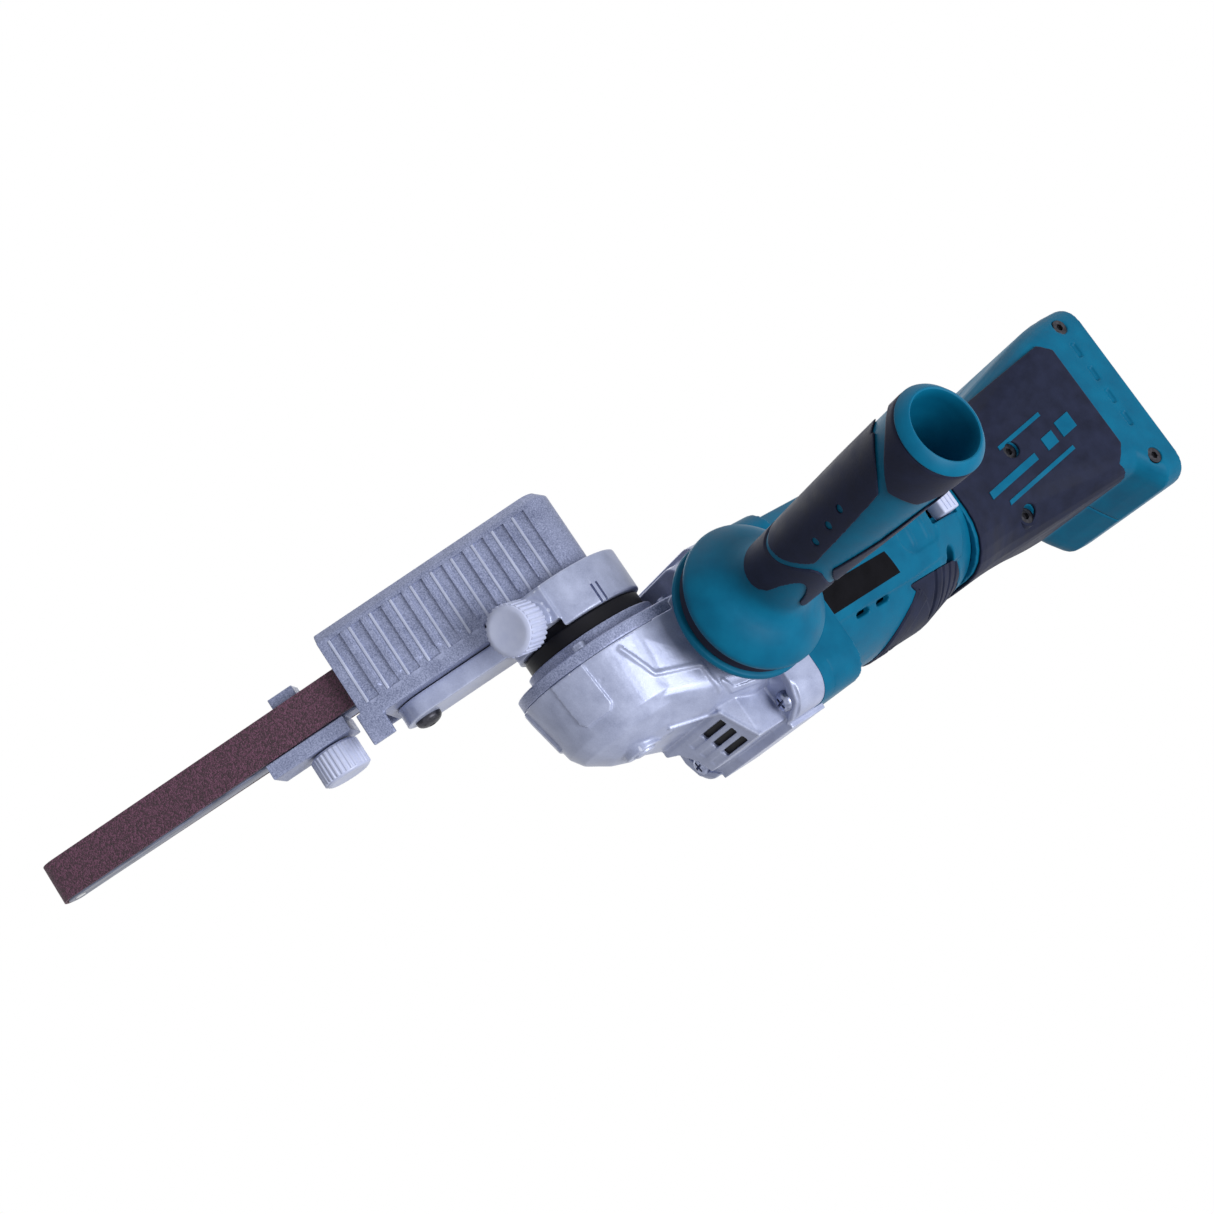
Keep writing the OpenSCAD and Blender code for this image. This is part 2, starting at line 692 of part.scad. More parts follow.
// Gears and turning pieces on the spindle
module crown_teeth_ring() {
  steps = 4 * crown_teeth;
  pitch = 360 / crown_teeth;
  half_low = pitch * (0.25 - backlash / 2) + pitch * 0.09;
  half_tip = half_low - pitch * 0.18;
  radii = [crown_in, crown_r];
  function tooth_s(r, up) = r / gear_ratio + (up ? -tooth_add : tooth_ded) * r / crown_r;
  function tooth_a(k) = let (t = floor(k / 4), e = k % 4)
    180 + t * pitch + [-half_low, -half_tip, half_tip, half_low][e];
  function at(r, k, s) = [r * cos(tooth_a(k)), r * sin(tooth_a(k)), s];
  face_up = [for (r = radii) for (k = [0 : steps - 1]) at(r, k, tooth_s(r, k % 4 == 1 || k % 4 == 2))];
  back = [for (r = radii) for (k = [0 : steps - 1]) at(r, k, crown_back_s)];
  o = steps;
  walls = [for (k = [0 : steps - 1]) let (i = (k + 1) % steps) each [
    [k, o + k, o + i], [k, o + i, i],
    [2 * o + k, 3 * o + i, 3 * o + k], [2 * o + k, 2 * o + i, 3 * o + i],
    [k, i, 2 * o + i], [k, 2 * o + i, 2 * o + k],
    [o + k, 3 * o + i, o + i], [o + k, 3 * o + k, 3 * o + i]]];
  polyhedron(concat(face_up, back), walls);
}
module crown_gear() {
  color(dark_steel) on_spindle(0) difference() {
    union() {
      crown_teeth_ring();
      translate([0, 0, hub_low]) disc(hub_r, crown_back_s - hub_low);
      translate([0, 0, crown_back_s - crown_back + 1]) disc(crown_in + 0.5, crown_back - 1);
    }
    translate([0, 0, -cut]) disc(spindle_r + run_fit, 4 * crown_back + 3 * hub_low);
    for (a = [0, 90, 180, 270]) {
      rotate([0, 0, a + lock_turn]) translate([lock_x, 0, -cut])
        disc(lock_pin_r + move_gap, hub_low + lock_travel + cut);
    }
  }
}
module pinion() {
  big = crown_r / gear_ratio;
  tip = big + tooth_add;
  root = big - tooth_ded;
  pitch = 360 / pinion_teeth;
  low = pitch * 0.31;
  top = pitch * 0.1;
  points = [for (t = [0 : pinion_teeth - 1]) for (e = [[-low, root], [-top, tip], [top, tip], [low, root]])
    let (a = (t + 0.5) * pitch + e[0]) [e[1] * cos(a), e[1] * sin(a)]];
  color(dark_steel) difference() {
    along_motor(crown_r) mirror([0, 0, 1]) linear_extrude(face_w, scale = crown_in / crown_r) polygon(points);
    along_motor(crown_in - cut) disc(shaft_tip_r + seat_fit / 2, face_w + 2 * cut);
  }
}
shaft_tip_r = 2.2;
spindle_step = 1;
spindle_nut_len = 6;
module spindle() {
  color(steel_tone) on_spindle(0) {
    translate([0, 0, spindle_low_s]) disc(spindle_low_r, hub_low - spindle_low_s);
    translate([0, 0, hub_low]) disc(spindle_r, brg_stop + 2 * spindle_step - hub_low);
    translate([0, 0, brg_stop + spindle_step]) disc(spindle_flange_r, shoulder_s - brg_stop - spindle_step);
    translate([0, 0, shoulder_s]) disc(spindle_top_r, wheel_width() + spindle_nut_len);
  }
}
module drive_wheel_hub() {
  color(steel_tone) on_file(-wheel_width() / 2)
    tube(wheel_r - 2.5, spindle_top_r + seat_fit / 2, wheel_width());
}
module drive_wheel_tyre() {
  color(black_tone) on_file(-wheel_width() / 2) tube(wheel_r, wheel_r - 2.5 + seat_fit / 2, wheel_width());
}
module wheel_nut() {
  color(steel_tone) on_file(wheel_width() / 2) difference() {
    cylinder(r = wheel_r - 3, h = 5.5, $fn = 6);
    translate([0, 0, -cut]) disc(spindle_top_r + seat_fit / 2, 8);
  }
}

// Motor
module rotor_shaft() {
  color(steel_tone) {
    along_motor(crown_in) disc(shaft_tip_r, face_w + 2);
    along_motor(crown_r + 0.5) disc(shaft_r, shaft_end - crown_r - 0.5);
  }
}
module rotor_core() {
  color(dark_steel) along_motor(rotor_m) tube(rotor_r, shaft_r + seat_fit / 2, rotor_len);
}
fan_plate = 1.6;
fan_hub = 4;
fan_hub_len = 9;
blade_t = 1.4;
blade_len = 8;
blade_in = 2;
blade_tip = 0.5;
module cooling_fan() {
  color(black_tone) along_motor(fan_m) difference() {
    union() {
      disc(fan_r, fan_plate);
      disc(shaft_r + fan_hub, fan_hub_len);
      for (i = [0 : fan_blades - 1]) {
        rotate([0, 0, i * 360 / fan_blades]) translate([shaft_r + blade_in, -blade_t / 2, 0])
          cube([fan_r - shaft_r - blade_in - blade_tip, blade_t, blade_len]);
      }
    }
    translate([0, 0, -cut]) disc(shaft_r + seat_fit / 2, fan_hub_len + 2 * cut);
  }
}
stator_in = rotor_r + air_gap;
stator_out = core_bore - 0.2;
tooth_w = 5;
stator_yoke = 4;
module stator_spokes(w, r0, r1, h) {
  for (i = [0 : 5]) {
    rotate([0, 0, 60 * i]) translate([r0, -w / 2, 0]) cube([r1 - r0, w, h]);
  }
}
module stator_core() {
  color(dark_steel) along_motor(rotor_m) difference() {
    union() {
      tube(stator_out, stator_out - stator_yoke, rotor_len);
      stator_spokes(tooth_w, stator_in - 2, stator_out - 2, rotor_len);
    }
    translate([0, 0, -cut]) disc(stator_in, rotor_len + 2 * cut);
  }
}
coil_over = 2.5;
module stator_windings() {
  coil_r0 = stator_in + 1.2;
  coil_r1 = stator_out - stator_yoke - 1;
  color(copper_tone) along_motor(rotor_m - coil_over) difference() {
    stator_spokes(tooth_w + 4, coil_r0, coil_r1, rotor_len + 2 * coil_over);
    translate([0, 0, coil_over - 0.1]) stator_spokes(tooth_w + 0.2, 0, stator_out, rotor_len + 0.2);
    translate([0, 0, -cut]) disc(coil_r0, rotor_len + 2 * coil_over + 2 * cut);
  }
}
module front_motor_bearing() {
  color(steel_tone) along_motor(front_brg_m) tube(motor_brg_r, shaft_r + run_fit, motor_brg_w);
}
module rear_motor_bearing() {
  color(steel_tone) along_motor(rear_brg_m) tube(motor_brg_r, shaft_r + run_fit, motor_brg_w);
}
switch_m = cone_m + 12;
switch_pocket = switch_len + switch_travel + 4;
core_ribs = 8;
core_rib_w = 3;
vent_m = body_m + 18;
vent_step = 11;
vent_turn = 127;
flat_in = 0.8;
module motor_section(grow) {
  difference() {
    circle(motor_r + grow, $fn = round_fn);
    translate([motor_flat + grow, -2 * motor_r]) square(4 * motor_r);
  }
}
module motor_body(grow) {
  rise = atan((cone_r - flat_in - motor_flat) / cone_len);
  linear_extrude(cone_m - motor_m) motor_section(grow);
  translate([0, 0, cone_m - motor_m]) difference() {
    cylinder(r1 = motor_r + grow, r2 = cone_r + grow, h = cone_len, $fn = round_fn);
    translate([motor_flat + grow, -2 * motor_r, 0]) rotate([0, rise, 0])
      cube([2 * motor_r, 4 * motor_r, 2 * cone_len]);
  }
}
module motor_cavity(len) {
  disc(core_bore, len);
  difference() {
    linear_extrude(len) motor_section(-motor_wall);
    for (i = [0 : core_ribs - 1]) {
      rotate([0, 0, i * 360 / core_ribs]) translate([core_bore - 1, -core_rib_w / 2, -cut])
        cube([motor_r, core_rib_w, len + 2 * cut]);
    }
  }
}
module motor_housing() {
  color(teal_tone) difference() {
    union() {
      along_motor(motor_m) linear_extrude(motor_flange_t) flange_outline();
      along_motor(motor_m) motor_body(0);
    }
    along_motor(motor_m - cut) motor_cavity(bulk_m - motor_m + cut);
    along_motor(bulk_m - cut) disc(motor_brg_r + seat_fit, motor_brg_w + cut + 0.1);
    along_motor(bulk_m) disc(shaft_r + 2, bulk_t + cut);
    along_motor(bulk_m + bulk_t) disc(cone_r - 4.5, motor_end);
    along_motor(motor_m - cut) flange_corners() disc(flange_bolt_r + seat_fit, flange_bolt_in + 2 + cut);
    along_motor(switch_m - switch_travel - 2)
      translate([switch_s - switch_w / 2 - 1, switch_flat, 0])
        cube([switch_w + 2, 2 * cone_r, switch_pocket]);
    along_motor(switch_m - switch_travel)
      translate([switch_s - 2, 0, 0]) cube([4, 2 * cone_r, switch_len + switch_travel]);
    for (i = [0, 1]) {
      for (side = [-1, 1]) {
        along_motor(vent_m + i * vent_step) rotate([0, 0, side * vent_turn])
          translate([motor_r - 2 * motor_wall, -vent_w / 2, 0]) cube([3 * motor_wall, vent_w, 7]);
      }
    }
    bumper_cut();
  }
}
bumper_t = 2;
bumper_top = 22;
bumper_rake = 18;
module bumper_zone(fit) {
  along_motor(0) rotate([90, 0, 0]) translate([0, 0, -2 * motor_r]) linear_extrude(4 * motor_r) polygon([
    [-bumper_top - fit, cone_m - bumper_rake + fit], [-bumper_top - fit, cone_m + cone_len / 2 - fit],
    [-motor_r, motor_end - 2 - fit], [-2 * motor_r, motor_end - 2 - fit], [-motor_r - 2, cone_m + fit]]);
}
module bumper_cut() {
  intersection() {
    bumper_zone(0);
    along_motor(motor_m) difference() {
      motor_body(cut);
      motor_body(-bumper_t);
    }
  }
}
module rear_bumper() {
  color(black_tone) difference() {
    intersection() {
      bumper_zone(0.2);
      along_motor(motor_m) motor_body(0);
    }
    along_motor(motor_m) motor_body(seat_fit - bumper_t);
    for (i = [0 : 4]) {
      along_motor(cone_m - 4 + i * 5.2)
        tube(2 * motor_r, motor_r - 0.8 - max(0, i * 5.2 - 4) * (motor_r - cone_r) / cone_len, 1.6);
    }
  }
}
module rating_label() {
  color([0.09, 0.09, 0.11]) along_motor(body_m + 5) intersection() {
    tube(motor_r + 0.4, motor_r + 0.02, label_len);
    translate([-label_h - 7.5, 0, 0]) cube([label_h, 2 * motor_r, label_len]);
  }
}

// Slide switch
module switch_slider() {
  color(grey_knob) along_motor(switch_m) {
    translate([switch_s - switch_w / 2, switch_flat + move_gap, 0]) cube([switch_w, 7.5, switch_len]);
    translate([switch_s - 1.5, switch_flat - motor_wall - 4, 2]) cube([3, motor_wall + 6, 4]);
  }
}
module switch_rod() {
  color(black_tone) along_motor(switch_m + 2)
    translate([switch_s - 2.5, switch_flat - motor_wall - 8, 0]) cube([5, 4, 24]);
}
module switch_module() {
  rod_end_m = switch_m + 26;
  color(black_tone) along_motor(rod_end_m + move_gap)
    translate([switch_s - 5, 6, 0]) cube([10, grip_half_h - shell_wall - 6.2, 22]);
}

// Rear handle
module handle_bay() {
  along_motor(bay_m) block(-motor_z + 9, foot_top + 10, bay_half + rail_groove, 0, bay_depth - rail_lip);
  along_motor(bay_m) block(-motor_z + 9, foot_top + 10, bay_half, 0, bay_depth + 5);
}
module handle_shell(side) {
  difference() {
    intersection() {
      difference() {
        along_motor(0) handle_loft(motor_end, handle_end, 0);
        along_motor(0) handle_loft(motor_end - cut, bay_m - shell_wall, -shell_wall);
      }
      along_motor(0) half_space(side);
    }
    handle_bay();
    along_motor(0) handle_screw_axes() translate([0, 0, -2 * foot_half_h])
      disc(handle_screw_r + seat_fit, 4 * foot_half_h);
  }
}
module shell_pillars(side) {
  along_motor(0) intersection() {
    handle_screw_axes() translate([0, 0, -foot_half_h]) difference() {
      disc(pillar_r, 2 * foot_half_h);
      translate([0, 0, -cut]) disc(handle_screw_r + seat_fit, 2 * foot_half_h + 2 * cut);
    }
    handle_loft(motor_end, handle_end, -shell_wall / 2);
    half_space(side);
  }
}
module handle_shell_left() {
  color(teal_tone) difference() {
    union() {
      handle_shell(-1);
      shell_pillars(-1);
    }
    handle_bay();
  }
}
module handle_shell_right() {
  color(teal_tone) difference() {
    union() {
      handle_shell(1);
      shell_pillars(1);
    }
    handle_bay();
    screw_heads();
    for (s = foot_slots) {
      along_motor(handle_end - 14) translate([s - 3.5, foot_half_h - 1.2, 0]) cube([7, 5, 3]);
    }
  }
}
head_sink = 3;
module screw_heads() {
  along_motor(0) for (p = concat(handle_screw_places, foot_screw_places)) {
    translate([p[1], grip_skin(p[0], p[1]) - head_sink, p[0]]) rotate([-90, 0, 0])
      disc(handle_head_r + seat_fit, head_cut);
  }
  along_motor(0) for (p = foot_screw_places) {
    translate([p[1], grip_skin(p[0], p[1]) - head_sink - foot_screw_len - 0.2, p[0]]) rotate([-90, 0, 0])
      disc(handle_screw_r + seat_fit, head_cut);
  }
}
panel_m0 = motor_end + 1.5;
panel_m1 = foot_m + 4;
module panel_outline() {
  polygon([
    [-grip_half_s - 6, panel_m0], [grip_half_s + 6, panel_m0], [grip_half_s - 1, waist_m + 10],
    [foot_top - 11, panel_m1 - 6], [foot_top - 16, panel_m1], [-18, panel_m1], [-25, panel_m1 - 6],
    [-grip_half_s - 6, lobe_m + 1]]);
}
module grip_panel(side) {
  difference() {
    intersection() {
      along_motor(0) difference() {
        handle_loft(motor_end, handle_end, grip_t);
        handle_loft(motor_end, handle_end, seat_fit);
      }
      along_motor(0) rotate([90, 0, 0]) translate([0, 0, -2 * foot_half_h])
        linear_extrude(4 * foot_half_h) panel_outline();
      along_motor(0) half_space(side);
    }
    along_motor(0) handle_screw_axes() translate([0, 0, -2 * foot_half_h])
      disc(handle_head_r + seat_fit, 4 * foot_half_h);
  }
}
module grip_panel_left() {
  color(black_tone) grip_panel(-1);
}
module grip_panel_right() {
  color(black_tone) grip_panel(1);
}
module handle_screws() {
  color(steel_tone) along_motor(0) {
    for (p = handle_screw_places) {
      translate([p[1], grip_skin(p[0], p[1]) - head_sink, p[0]]) rotate([-90, 0, 0])
        socket_screw(handle_screw_r, grip_skin(p[0], p[1]) + handle_screw_in, handle_head_r, handle_head_h);
    }
    for (p = foot_screw_places) {
      translate([p[1], grip_skin(p[0], p[1]) - head_sink, p[0]]) rotate([-90, 0, 0])
        socket_screw(handle_screw_r, foot_screw_len, handle_head_r, handle_head_h);
    }
  }
}
module control_board() {
  board_len = 24;
  color(board_tone) along_motor(bay_m - shell_wall - 0.2 - board_len) block(-17, 17, 0.8, 0, board_len);
}
module terminal_block() {
  color(black_tone) along_motor(bay_m + 0.1) block(-16, 16, 13, 0, 5);
}
module terminal_blades() {
  color(copper_tone) along_motor(bay_m + 5.1) for (i = [-1, 0, 1]) {
    translate([-12, i * 8 - 0.5, 0]) cube([24, 1, 6]);
  }
}

// Side handle
core_wall = 1.2;
module side_handle_stud() {
  stud_low = boss_end - stud_seat + 1;
  color(steel_tone) along_side(stud_low) disc(stud_r, grip_h + 8 - stud_low);
}
module side_rear_disc() {
  color(teal_tone) along_side(boss_end) difference() {
    union() {
      disc(12, disc_h - boss_end + 1);
      translate([0, 0, disc_h - boss_end]) disc(disc_r, disc_t);
    }
    translate([0, 0, -cut]) disc(stud_r + seat_fit, disc_t + 4);
  }
}
module side_damper_ring() {
  color(black_tone) along_side(disc_h + disc_t)
    tube(disc_r - 1.6, stud_r + seat_fit, front_h - disc_h - disc_t);
}
module side_handle_core() {
  tube_r = side_r0 - sleeve_t;
  color(teal_tone) along_side(0) difference() {
    rotate_extrude($fn = round_fn) polygon(concat(
      [[0, front_h], [disc_r + 0.15, front_h], [disc_r + 0.15, dome_h]],
      [for (t = [10 : 10 : 80]) [
        tube_r + (disc_r - tube_r) * (1 - sin(t)),
        dome_h + dome_len * (1 - cos(t))]],
      [[tube_r, grip_h], [side_r1 - sleeve_t, sleeve_end], [end_ring_r, sleeve_end],
       [end_ring_r, side_end - 1.2], [end_ring_r - 1.2, side_end], [0, side_end]]));
    translate([0, 0, front_h - cut]) disc(stud_r + seat_fit, grip_h + 9 - front_h);
    translate([0, 0, grip_h + 14]) rotate_extrude($fn = round_fn) polygon([
      [0, 0], [tube_r - core_wall - 1, 0], [side_r1 - sleeve_t - core_wall, sleeve_end - grip_h - 14],
      [hollow_r, side_end - grip_h - 14 + cut], [0, side_end - grip_h - 14 + cut]]);
  }
}
module side_grip_sleeve() {
  color(black_tone) along_side(grip_h) rotate_extrude($fn = round_fn) polygon([
    [side_r0 - sleeve_t + seat_fit, 0.1], [side_r0, 0.1], [side_r1, sleeve_end - grip_h - 0.1],
    [side_r1 - sleeve_t + seat_fit, sleeve_end - grip_h - 0.1]]);
}

// File head
module file_bracket() {
  color(cast_tone) difference() {
    union() {
      on_file(ring_low) disc(ring_r, ring_h);
      on_file(tongue_top - tongue_t) {
        block(0, tongue_len - tongue_half, tongue_half, 0, tongue_t);
        translate([tongue_len - tongue_half, 0, 0]) disc(tongue_half, tongue_t);
      }
      along_clamp(collar_in_r + 2) disc(boss_r, boss_out - collar_in_r - 2);
    }
    on_file(ring_low - cut) disc(collar_in_r + run_fit, ring_h + 2 * cut);
    on_file(tongue_top - tongue_t - cut) translate([bolt_x, 0, 0])
      disc(bolt_r + seat_fit, tongue_t + 2 * cut);
    along_clamp(collar_in_r - 2) disc(knob_screw_r + run_fit, boss_out);
  }
}
module fluted(r, len) {
  difference() {
    disc(r, len);
    for (i = [0 : 11]) {
      rotate([0, 0, 30 * i]) translate([r + 0.9, 0, -cut])
        cylinder(r = 1.7, h = len + 2 * cut, $fn = small_fn);
    }
  }
}
module clamp_screw() {
  color(steel_tone) along_clamp(collar_in_r + move_gap)
    disc(knob_screw_r, knob_start + knob_len / 2 - collar_in_r - move_gap);
}
module clamp_knob() {
  color(grey_knob) along_clamp(knob_start) difference() {
    fluted(knob_r, knob_len);
    translate([0, 0, -cut]) disc(knob_screw_r + seat_fit / 2, knob_len / 2 + cut + seat_fit);
  }
}
module cover_plan(back, half, front, r) {
  translate([r - back, -half]) square([front + back - r, 2 * half]);
  translate([-back, r - half]) square([r, 2 * (half - r)]);
  for (j = [-1, 1]) {
    translate([r - back, j * (half - r)]) circle(r, $fn = round_fn);
  }
}
cover_round = 9;
rib_low = -8;
rib_in = 11.2;
rib_back = 9;
rib_room = 1 + floor((cover_len - rib_in + cover_back - rib_back) / rib_pitch);
floor_in = 6;
lug_drop = 8;
lug_in = 7;
lug_len = 9;
module belt_cover() {
  inner = cover_wall;
  ring_cut = ring_top + 0.3;
  color(cast_tone) difference() {
    union() {
      on_file(-cover_drop) linear_extrude(cover_top + cover_drop)
        cover_plan(cover_back, cover_half, cover_len, cover_round);
      for (i = [0 : min(rib_count, rib_room) - 1]) {
        on_file(rib_low) translate([cover_len - rib_in - i * rib_pitch, cover_half - eps, 0])
          cube([rib_w, rib_t + eps, belt_w + 7.5]);
      }
      on_file(-cover_drop - lug_drop) translate([cover_len - lug_in, cover_half - inner, 0])
        cube([lug_len, inner, lug_drop + 4]);
    }
    on_file(floor_top) linear_extrude(cover_top - inner - floor_top)
      cover_plan(cover_back - inner, cover_half - inner, cover_len + 20, cover_round - inner);
    on_file(-cover_drop - cut) block(-2 * ring_r, floor_x, 2 * cover_half, 0, cover_drop + ring_cut + cut);
    on_file(-cover_drop - cut) linear_extrude(cover_drop)
      cover_plan(cover_back - inner, cover_half - inner, floor_x, cover_round - inner);
    on_file(0)
      block(cover_len - floor_in, cover_len + cut, cover_half - inner, -cover_drop - cut, floor_top + cut);
    on_file(-cover_drop - cut) translate([bolt_x, 0, 0]) disc(bolt_r + seat_fit, 3 + 2 * cut);
  }
}
module cover_bolt() {
  head_s = tongue_top - tongue_t;
  color(dark_steel) on_file(head_s) translate([bolt_x, 0, 0]) {
    disc(bolt_r, floor_top - head_s);
    difference() {
      translate([0, 0, -3.4]) rotate_extrude($fn = round_fn) polygon(concat(
        [[0, 3.4]], [for (t = [0 : 15 : 90]) [2 * bolt_r * cos(t), 2.6 - 2.6 * sin(t)]], []));
      translate([0, 0, -4]) cylinder(r = bolt_r * 0.6, h = 2, $fn = 6);
    }
    translate([0, 0, -0.8]) disc(2 * bolt_r, 0.8);
  }
}
module tension_guide() {
  color(steel_tone) difference() {
    on_file(0) block(guide_x, guide_x + guide_len, guide_half, floor_top, rod_r + 3.5);
    along_arm(guide_x - cut, 0) disc(rod_r + run_fit, guide_len + 2 * cut);
  }
}
module tension_spring() {
  color(steel_tone) along_arm(spring_x, 0) coil(spring_mid, spring_end - spring_x, spring_turns, wire_r);
}
module loop_area(r0, r1, d) {
  lean = asin((r0 - r1) / d);
  circle(r0, $fn = round_fn);
  translate([d, 0]) circle(r1, $fn = round_fn);
  polygon([
    [r0 * sin(lean), r0 * cos(lean)], [r0 * sin(lean), -r0 * cos(lean)],
    [d + r1 * sin(lean), -r1 * cos(lean)], [d + r1 * sin(lean), r1 * cos(lean)]]);
}
module abrasive_belt() {
  color(belt_tone) on_file(-belt_w / 2) linear_extrude(belt_w) difference() {
    loop_area(wheel_r + belt_gap + belt_t, idler_r + belt_gap + belt_t, idler_x);
    loop_area(wheel_r + belt_gap, idler_r + belt_gap, idler_x);
  }
}

// Arm
tenon_half = 2;
tenon_s = 4;
module arm_holder() {
  color(cast_tone) difference() {
    union() {
      on_file(0) block(holder_x, holder_end, web_half, holder_deck, belt_w / 2 - 0.3);
      on_file(0) block(holder_x + 6, holder_end, holder_half, holder_low, holder_deck);
      on_file(0) block(track_x - 0.5, track_x + 9.5, web_half, 0, belt_w / 2 + 4.5);
    }
    on_file(0) block(holder_end - tenon_len, holder_end + cut, tenon_half + seat_fit / 2,
      -tenon_s - seat_fit / 2, tenon_s + seat_fit / 2);
    on_file(holder_low - cut) translate([track_x, 0, 0]) disc(knob_screw_r + run_fit, 6 + cut);
    along_arm(holder_x - cut, 0) disc(rod_r + seat_fit / 2, 8 + cut);
  }
}
module tension_rod() {
  color(steel_tone) along_arm(rod_end, 0) disc(rod_r, holder_x + 7.5 - rod_end);
}
module bar_foot() {
  difference() {
    union() {
      translate([holder_end, -bar_half - 1]) square([idler_x - holder_end, 2 * bar_half + 2]);
      translate([idler_x, 0]) circle(bar_eye_r, $fn = round_fn);
    }
    translate([idler_x, 0]) circle(axle_r + seat_fit / 2, $fn = round_fn);
  }
}
module arm_bar() {
  bar_end = idler_x - idler_r - 1;
  color(steel_tone) {
    on_file(0) block(holder_end, bar_end, bar_half, bar_low - 1, belt_w / 2 - 0.5);
    on_file(flange_low) linear_extrude(bar_low - flange_low) bar_foot();
    on_file(0) block(holder_end - tenon_len + 0.3, holder_end + cut, tenon_half, -tenon_s, tenon_s);
  }
}
module idler_axle() {
  color(steel_tone) on_file(0) translate([idler_x, 0, 0]) {
    translate([0, 0, flange_low]) disc(axle_r, idler_top + 0.3 - flange_low);
    translate([0, 0, idler_top + 0.3]) disc(axle_r + 1.3, 0.9);
  }
}
module idler_pulley() {
  color(dark_steel) on_file(idler_low) translate([idler_x, 0, 0])
    tube(idler_r, axle_r + run_fit, idler_top - idler_low);
}
module tracking_screw() {
  color(steel_tone) on_file(0) translate([track_x, 0, 0])
    translate([0, 0, knob2_top - knob_len / 2])
      disc(knob_screw_r, holder_low + 5.5 - knob2_top + knob_len / 2);
}
module tracking_knob() {
  color(grey_knob) on_file(knob2_top - knob_len) translate([track_x, 0, 0]) difference() {
    fluted(knob_r, knob_len);
    translate([0, 0, knob_len / 2 - seat_fit]) disc(knob_screw_r + seat_fit / 2, knob_len);
  }
}

gear_housing();
bearing_plate();
neck_collar();
plate_screws();
flange_screws();
spindle_bearing();
spindle_bush();
lock_spring();
stator_core();
stator_windings();
front_motor_bearing();
rear_motor_bearing();
motor_housing();
rating_label();
rear_bumper();
handle_shell_left();
handle_shell_right();
grip_panel_left();
grip_panel_right();
handle_screws();
switch_module();
control_board();
terminal_block();
terminal_blades();
side_handle_stud();
side_rear_disc();
side_damper_ring();
side_handle_core();
side_grip_sleeve();
spindle();
crown_gear();
drive_wheel_hub();
drive_wheel_tyre();
wheel_nut();
rotor_shaft();
pinion();
rotor_core();
cooling_fan();
lock_button();
switch_slider();
switch_rod();
file_bracket();
belt_cover();
cover_bolt();
tension_guide();
tension_spring();
abrasive_belt();
arm_holder();
tension_rod();
arm_bar();
idler_axle();
idler_pulley();
clamp_knob();
clamp_screw();
tracking_knob();
tracking_screw();
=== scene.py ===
import json
import math
import bpy
from mathutils import Matrix, Vector


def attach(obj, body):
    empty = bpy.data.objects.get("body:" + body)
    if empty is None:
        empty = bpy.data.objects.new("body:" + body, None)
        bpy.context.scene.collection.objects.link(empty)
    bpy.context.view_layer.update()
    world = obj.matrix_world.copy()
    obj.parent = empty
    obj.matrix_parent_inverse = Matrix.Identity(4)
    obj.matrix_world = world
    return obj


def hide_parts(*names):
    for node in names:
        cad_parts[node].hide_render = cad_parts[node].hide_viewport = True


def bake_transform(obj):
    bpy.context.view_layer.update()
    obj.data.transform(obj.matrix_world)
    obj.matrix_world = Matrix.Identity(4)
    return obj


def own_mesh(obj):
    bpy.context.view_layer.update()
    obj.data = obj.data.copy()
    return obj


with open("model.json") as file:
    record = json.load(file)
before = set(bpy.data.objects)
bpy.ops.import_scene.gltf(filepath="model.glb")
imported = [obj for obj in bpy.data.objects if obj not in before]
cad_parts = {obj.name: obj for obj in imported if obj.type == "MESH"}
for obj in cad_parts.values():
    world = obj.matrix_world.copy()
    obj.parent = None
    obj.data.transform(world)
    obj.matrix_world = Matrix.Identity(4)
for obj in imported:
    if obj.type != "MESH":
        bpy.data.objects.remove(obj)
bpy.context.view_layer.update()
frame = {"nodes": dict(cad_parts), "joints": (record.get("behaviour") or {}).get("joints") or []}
mm = 0.001
print("frame loaded:", len(frame["nodes"]), "nodes")


def hexColour(code):  # sRGB hex to the linear colour that a socket takes
    parts = [int(code[i:i + 2], 16) / 255 for i in (1, 3, 5)]
    return [p / 12.92 if p <= 0.04045 else ((p + 0.055) / 1.055) ** 2.4 for p in parts] + [1]


def perMm(size):  # texture scale that gives features of this size in millimetres
    return 1 / (size * mm)


def addNode(tree, kind, settings=None, links=None):
    node = tree.nodes.new(kind)
    for key, value in (settings or {}).items():
        if key == "tones":  # a ramp's places and colours
            for stop, (place, colour) in zip(node.color_ramp.elements, value):
                stop.position = place
                stop.color = hexColour(colour)
        elif isinstance(key, str) and hasattr(node, key):
            setattr(node, key, value)
        else:
            node.inputs[key].default_value = value
    for key, source in (links or {}).items():
        tree.links.new(source, node.inputs[key])
    return node


def newMaterial(name, look):
    material = bpy.data.materials.new(name)
    material.use_nodes = True
    shader = material.node_tree.nodes["Principled BSDF"]
    shader.inputs["Metallic"].default_value = look.get("metal", 0)
    shader.inputs["Specular IOR Level"].default_value = look.get("shine", 0.5)
    where = addNode(material.node_tree, "ShaderNodeTexCoord").outputs["Object"]
    return material, material.node_tree, shader, where


